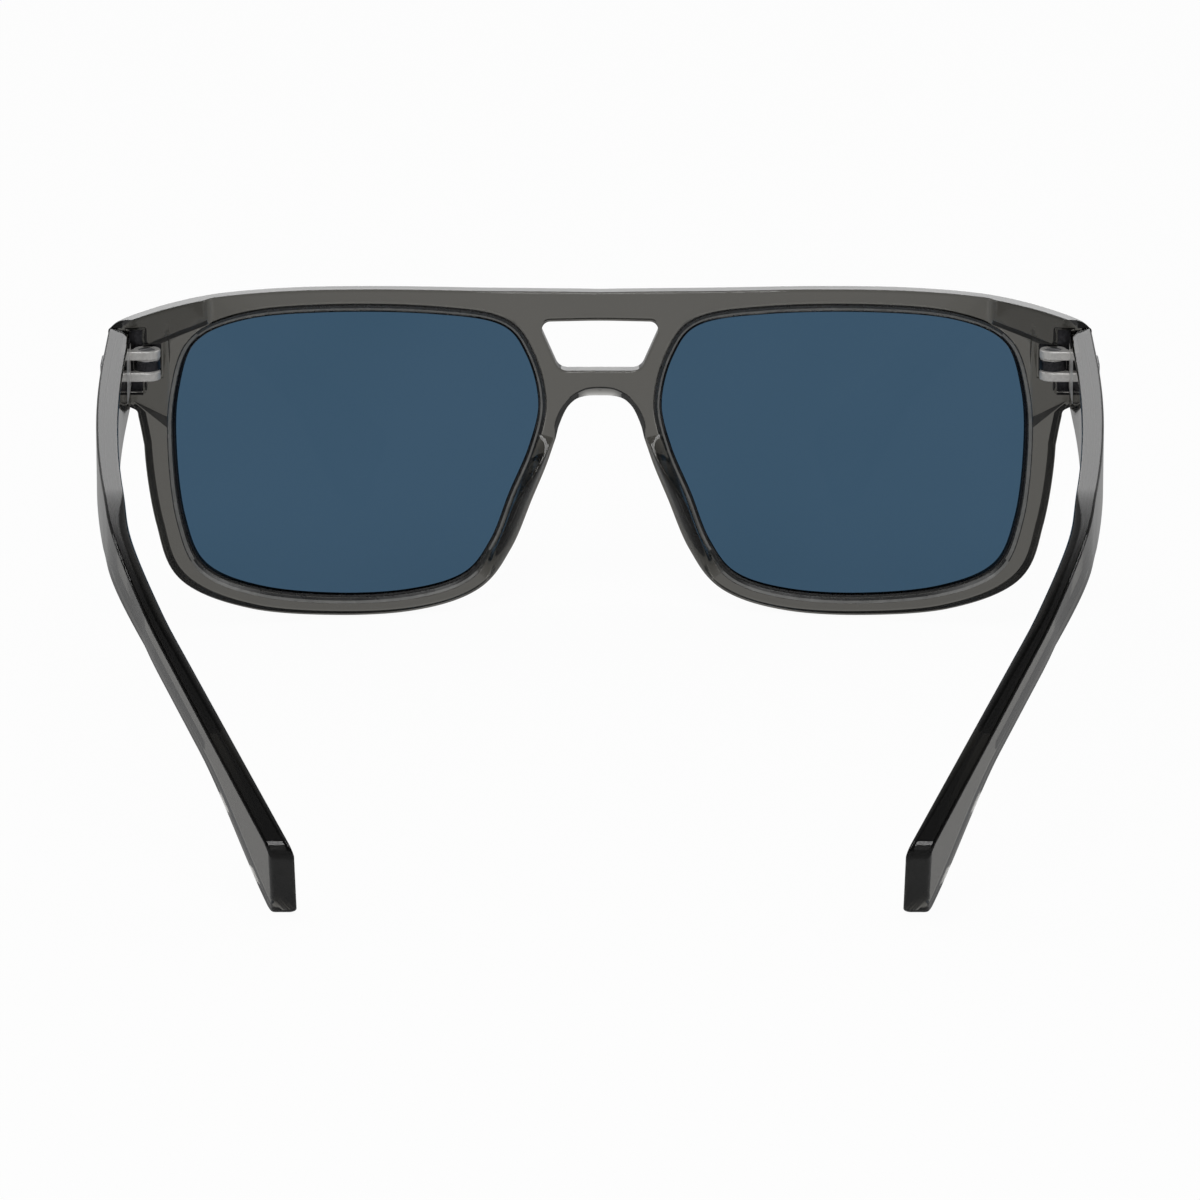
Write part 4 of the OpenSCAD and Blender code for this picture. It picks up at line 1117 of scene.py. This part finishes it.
def opaque(name, low, high, rough, **sockets):
    """Opaque stand-in for clear plastic, whose colour holds painted shade or a painted highlight, on steep
    walls and narrow facets.
    """
    return varied(name, low, high, rough, (700, 3), (400, 2), **sockets)[0]


MATT, GLOSS = (0.5, 0.7), (0.2, 0.32)
mats = {
    "plastic": [
        plastic(),
        # painted shade: near-black on the walls below the brow's thick end and the hinge flat, and on the
        # nose arch's edge
        opaque("plastic_painted_shade", (0.035, 0.035, 0.034), (0.05, 0.049, 0.047), MATT),
        # painted shade and painted highlight on the facets of the ring round each lens
        opaque("ring_painted_shade", (0.026, 0.027, 0.027), (0.042, 0.043, 0.043), GLOSS, Specular_IOR_Level=1.0),
        opaque("ring_painted_highlight", (0.21, 0.21, 0.205), (0.27, 0.27, 0.262), GLOSS, Specular_IOR_Level=0.5),
    ],
    "lens": [
        tinted(),
        # painted shade: near-black on the lens's ground edge and walls
        opaque("lens_edge_painted_shade", (0.004, 0.006, 0.01), (0.01, 0.013, 0.02), GLOSS, Specular_IOR_Level=0.9),
    ],
    "steel": [steel("hinge_metal", (0.72, 0.71, 0.69), (0.84, 0.83, 0.81), (0.28, 0.42), 0.45)],
    "dark_steel": [steel("dark_metal", (0.05, 0.05, 0.055), (0.09, 0.09, 0.1), (0.25, 0.4))],
    "screw": [steel("screw_metal", (0.26, 0.26, 0.27), (0.4, 0.4, 0.41), (0.3, 0.45), 0.6)],
    "wire": [steel("wire_metal", (0.1, 0.1, 0.1), (0.16, 0.16, 0.16), (0.3, 0.45))],
    "plaque": [steel("plaque_metal", (0.2, 0.2, 0.21), (0.27, 0.27, 0.28), (0.2, 0.32))],
}

# ---- pieces
make("front_moulding", front_mesh(), "front", "front_frame", mats["plastic"])
one_side = [
    ("lens", lens_mesh(), "lens", "front", "lens", "lens"),
    ("pad", pad_mesh(), "nose_pad", "front", "nose_pad", "plastic"),
    ("temple", temple_mesh(), "temple", "arm", "frame_plastic", "plastic"),
    ("core_wire", wire_mesh(), "core_wire", "arm", "core_wire", "wire"),
    ("hinge_leaf", leaf_mesh(), "temple_hinge", "arm", "hinge_steel", "steel"),
    ("front_leaf", front_leaf_mesh(), "front_hinge", "front", "hinge_steel", "dark_steel"),
    ("washers", washer_mesh(), "hinge_washers", "arm", "hinge_steel", "steel"),
    ("screw", screw_mesh(), "hinge_screw", "arm", "hinge_steel", "screw"),
    ("plaque", plaque_mesh(), "temple_plaque", "arm", "plaque", "plaque"),
]
for name, shape, node, body, slot, mat in one_side:
    rides = ("front", "front") if body == "front" else ("left_arm", "right_arm")
    make(f"left_{name}_piece", shape, rides[0], f"left_{node}", mats[mat])
    make(f"right_{name}_piece", mirrored(shape), rides[1], f"right_{node}", mats[mat])


# ---- floor, light and camera
def stage_floor():
    """Pale floor with the shadow. Camera, transmission and glossy rays see it glow, the last less."""
    s = 3.0
    mesh = bpy.data.meshes.new("floor")
    mesh.from_pydata([(-s, -s, 0), (s, -s, 0), (s, s, 0), (-s, s, 0)], [], [(0, 1, 2, 3)])
    mat, tree, shader = principled("pale_floor", Roughness=0.9, Specular_IOR_Level=0.1)
    base = shader.inputs["Base Color"]
    colour_to(tree, noise(tree, 12, 3), base, (0.89, 0.89, 0.885), (0.91, 0.91, 0.905))
    path = shader_node(tree, "ShaderNodeLightPath", {}).outputs
    glossy, through = path["Is Glossy Ray"], path["Is Transmission Ray"]
    share = maths(tree, "MULTIPLY", path["Is Camera Ray"], 0.96)
    for ray in (through, glossy):
        share = maths(tree, "MAXIMUM", share, maths(tree, "MULTIPLY", ray, 0.8))
    dim = shader_node(tree, "ShaderNodeMapRange", {
        "To Min": 1, "To Max": 0.25, "Value": maths(tree, "SUBTRACT", glossy, through),
    }).outputs["Result"]
    glow = shader_node(tree, "ShaderNodeEmission", {"Color": (1, 1, 1, 1), "Strength": dim})
    mix = shader_node(tree, "ShaderNodeMixShader", {"Fac": share, 1: shader.outputs[0], 2: glow.outputs[0]})
    tree.links.new(mix.outputs[0], tree.nodes["Material Output"].inputs["Surface"])
    mesh.materials.append(mat)
    shown("floor", mesh)


def sky():
    """White for the camera. For other rays it fades straight above, to both sides and towards the rear."""
    world = bpy.data.worlds.new("studio")
    bpy.context.scene.world = world
    world.use_nodes = True
    tree = world.node_tree
    coord = shader_node(tree, "ShaderNodeTexCoord", {}).outputs["Generated"]
    split = shader_node(tree, "ShaderNodeSeparateXYZ", {0: coord}).outputs
    aside = maths(tree, "ABSOLUTE", split["X"])
    light = None
    fades = ((split["Z"], 0.72, 0.97, 0.32), (aside, 0.12, 0.25, 0.2), (split["Y"], -0.2, 0.3, 0.5))
    for way, start, stop, low in fades:
        fade = shader_node(tree, "ShaderNodeMapRange", {
            "Value": way, "From Min": start, "From Max": stop, "To Min": 1, "To Max": low,
        }).outputs["Result"]
        light = maths(tree, "MULTIPLY", light, fade) if light else fade
    path = shader_node(tree, "ShaderNodeLightPath", {}).outputs
    mix = tree.nodes.new("ShaderNodeMix")
    mix.data_type = "RGBA"
    tree.links.new(path["Is Camera Ray"], mix.inputs[0])
    tree.links.new(light, mix.inputs[6])
    mix.inputs[7].default_value = (1, 1, 1, 1)
    back = tree.nodes["Background"].inputs
    tree.links.new(mix.outputs[2], back["Color"])
    back["Strength"].default_value = 1.0


def aimed(obj, place, way):
    """Put an object at a place in metres, looking along a way."""
    obj.location = place
    obj.rotation_euler = Vector(way).to_track_quat("-Z", "Y").to_euler()


def lamp(name, place, aim, size, power):
    light = bpy.data.lights.new(name, "AREA")
    light.shape = "RECTANGLE"
    light.size, light.size_y = size
    light.energy = power
    aimed(shown(name, light), place, Vector(aim) - Vector(place))


def photo_camera():
    """Camera fitted to the photo at an assumed distance; below is how far it aims under the middle."""
    elevation, distance, below = math.radians(15.5), 1400.0, 21.17
    focal_px, photo_px, sensor = 9688.0, 1200, 36
    c = np.array([0, math.cos(elevation), math.sin(elevation)])
    up = np.array([0, -math.sin(elevation), math.cos(elevation)])
    data = bpy.data.cameras.new("camera")
    data.sensor_width = sensor
    data.lens = focal_px * sensor / photo_px
    data.clip_end = 20
    cam = shown("camera", data)
    aimed(cam, (distance * c - below * up + SHIFT) / MM, -c)
    bpy.context.scene.camera = cam


stage_floor()
sky()
lamp("key", (0.1, 1.0, 1.5), (0, 0, 0.02), (1.0, 1.0), 12)
for side in (-1, 1):
    lamp("side", (0.85 * side, -0.3, 0.65), (0, 0.1, 0.02), (0.5, 0.6), 1.2)
photo_camera()
bpy.context.scene.view_settings.view_transform = "Standard"
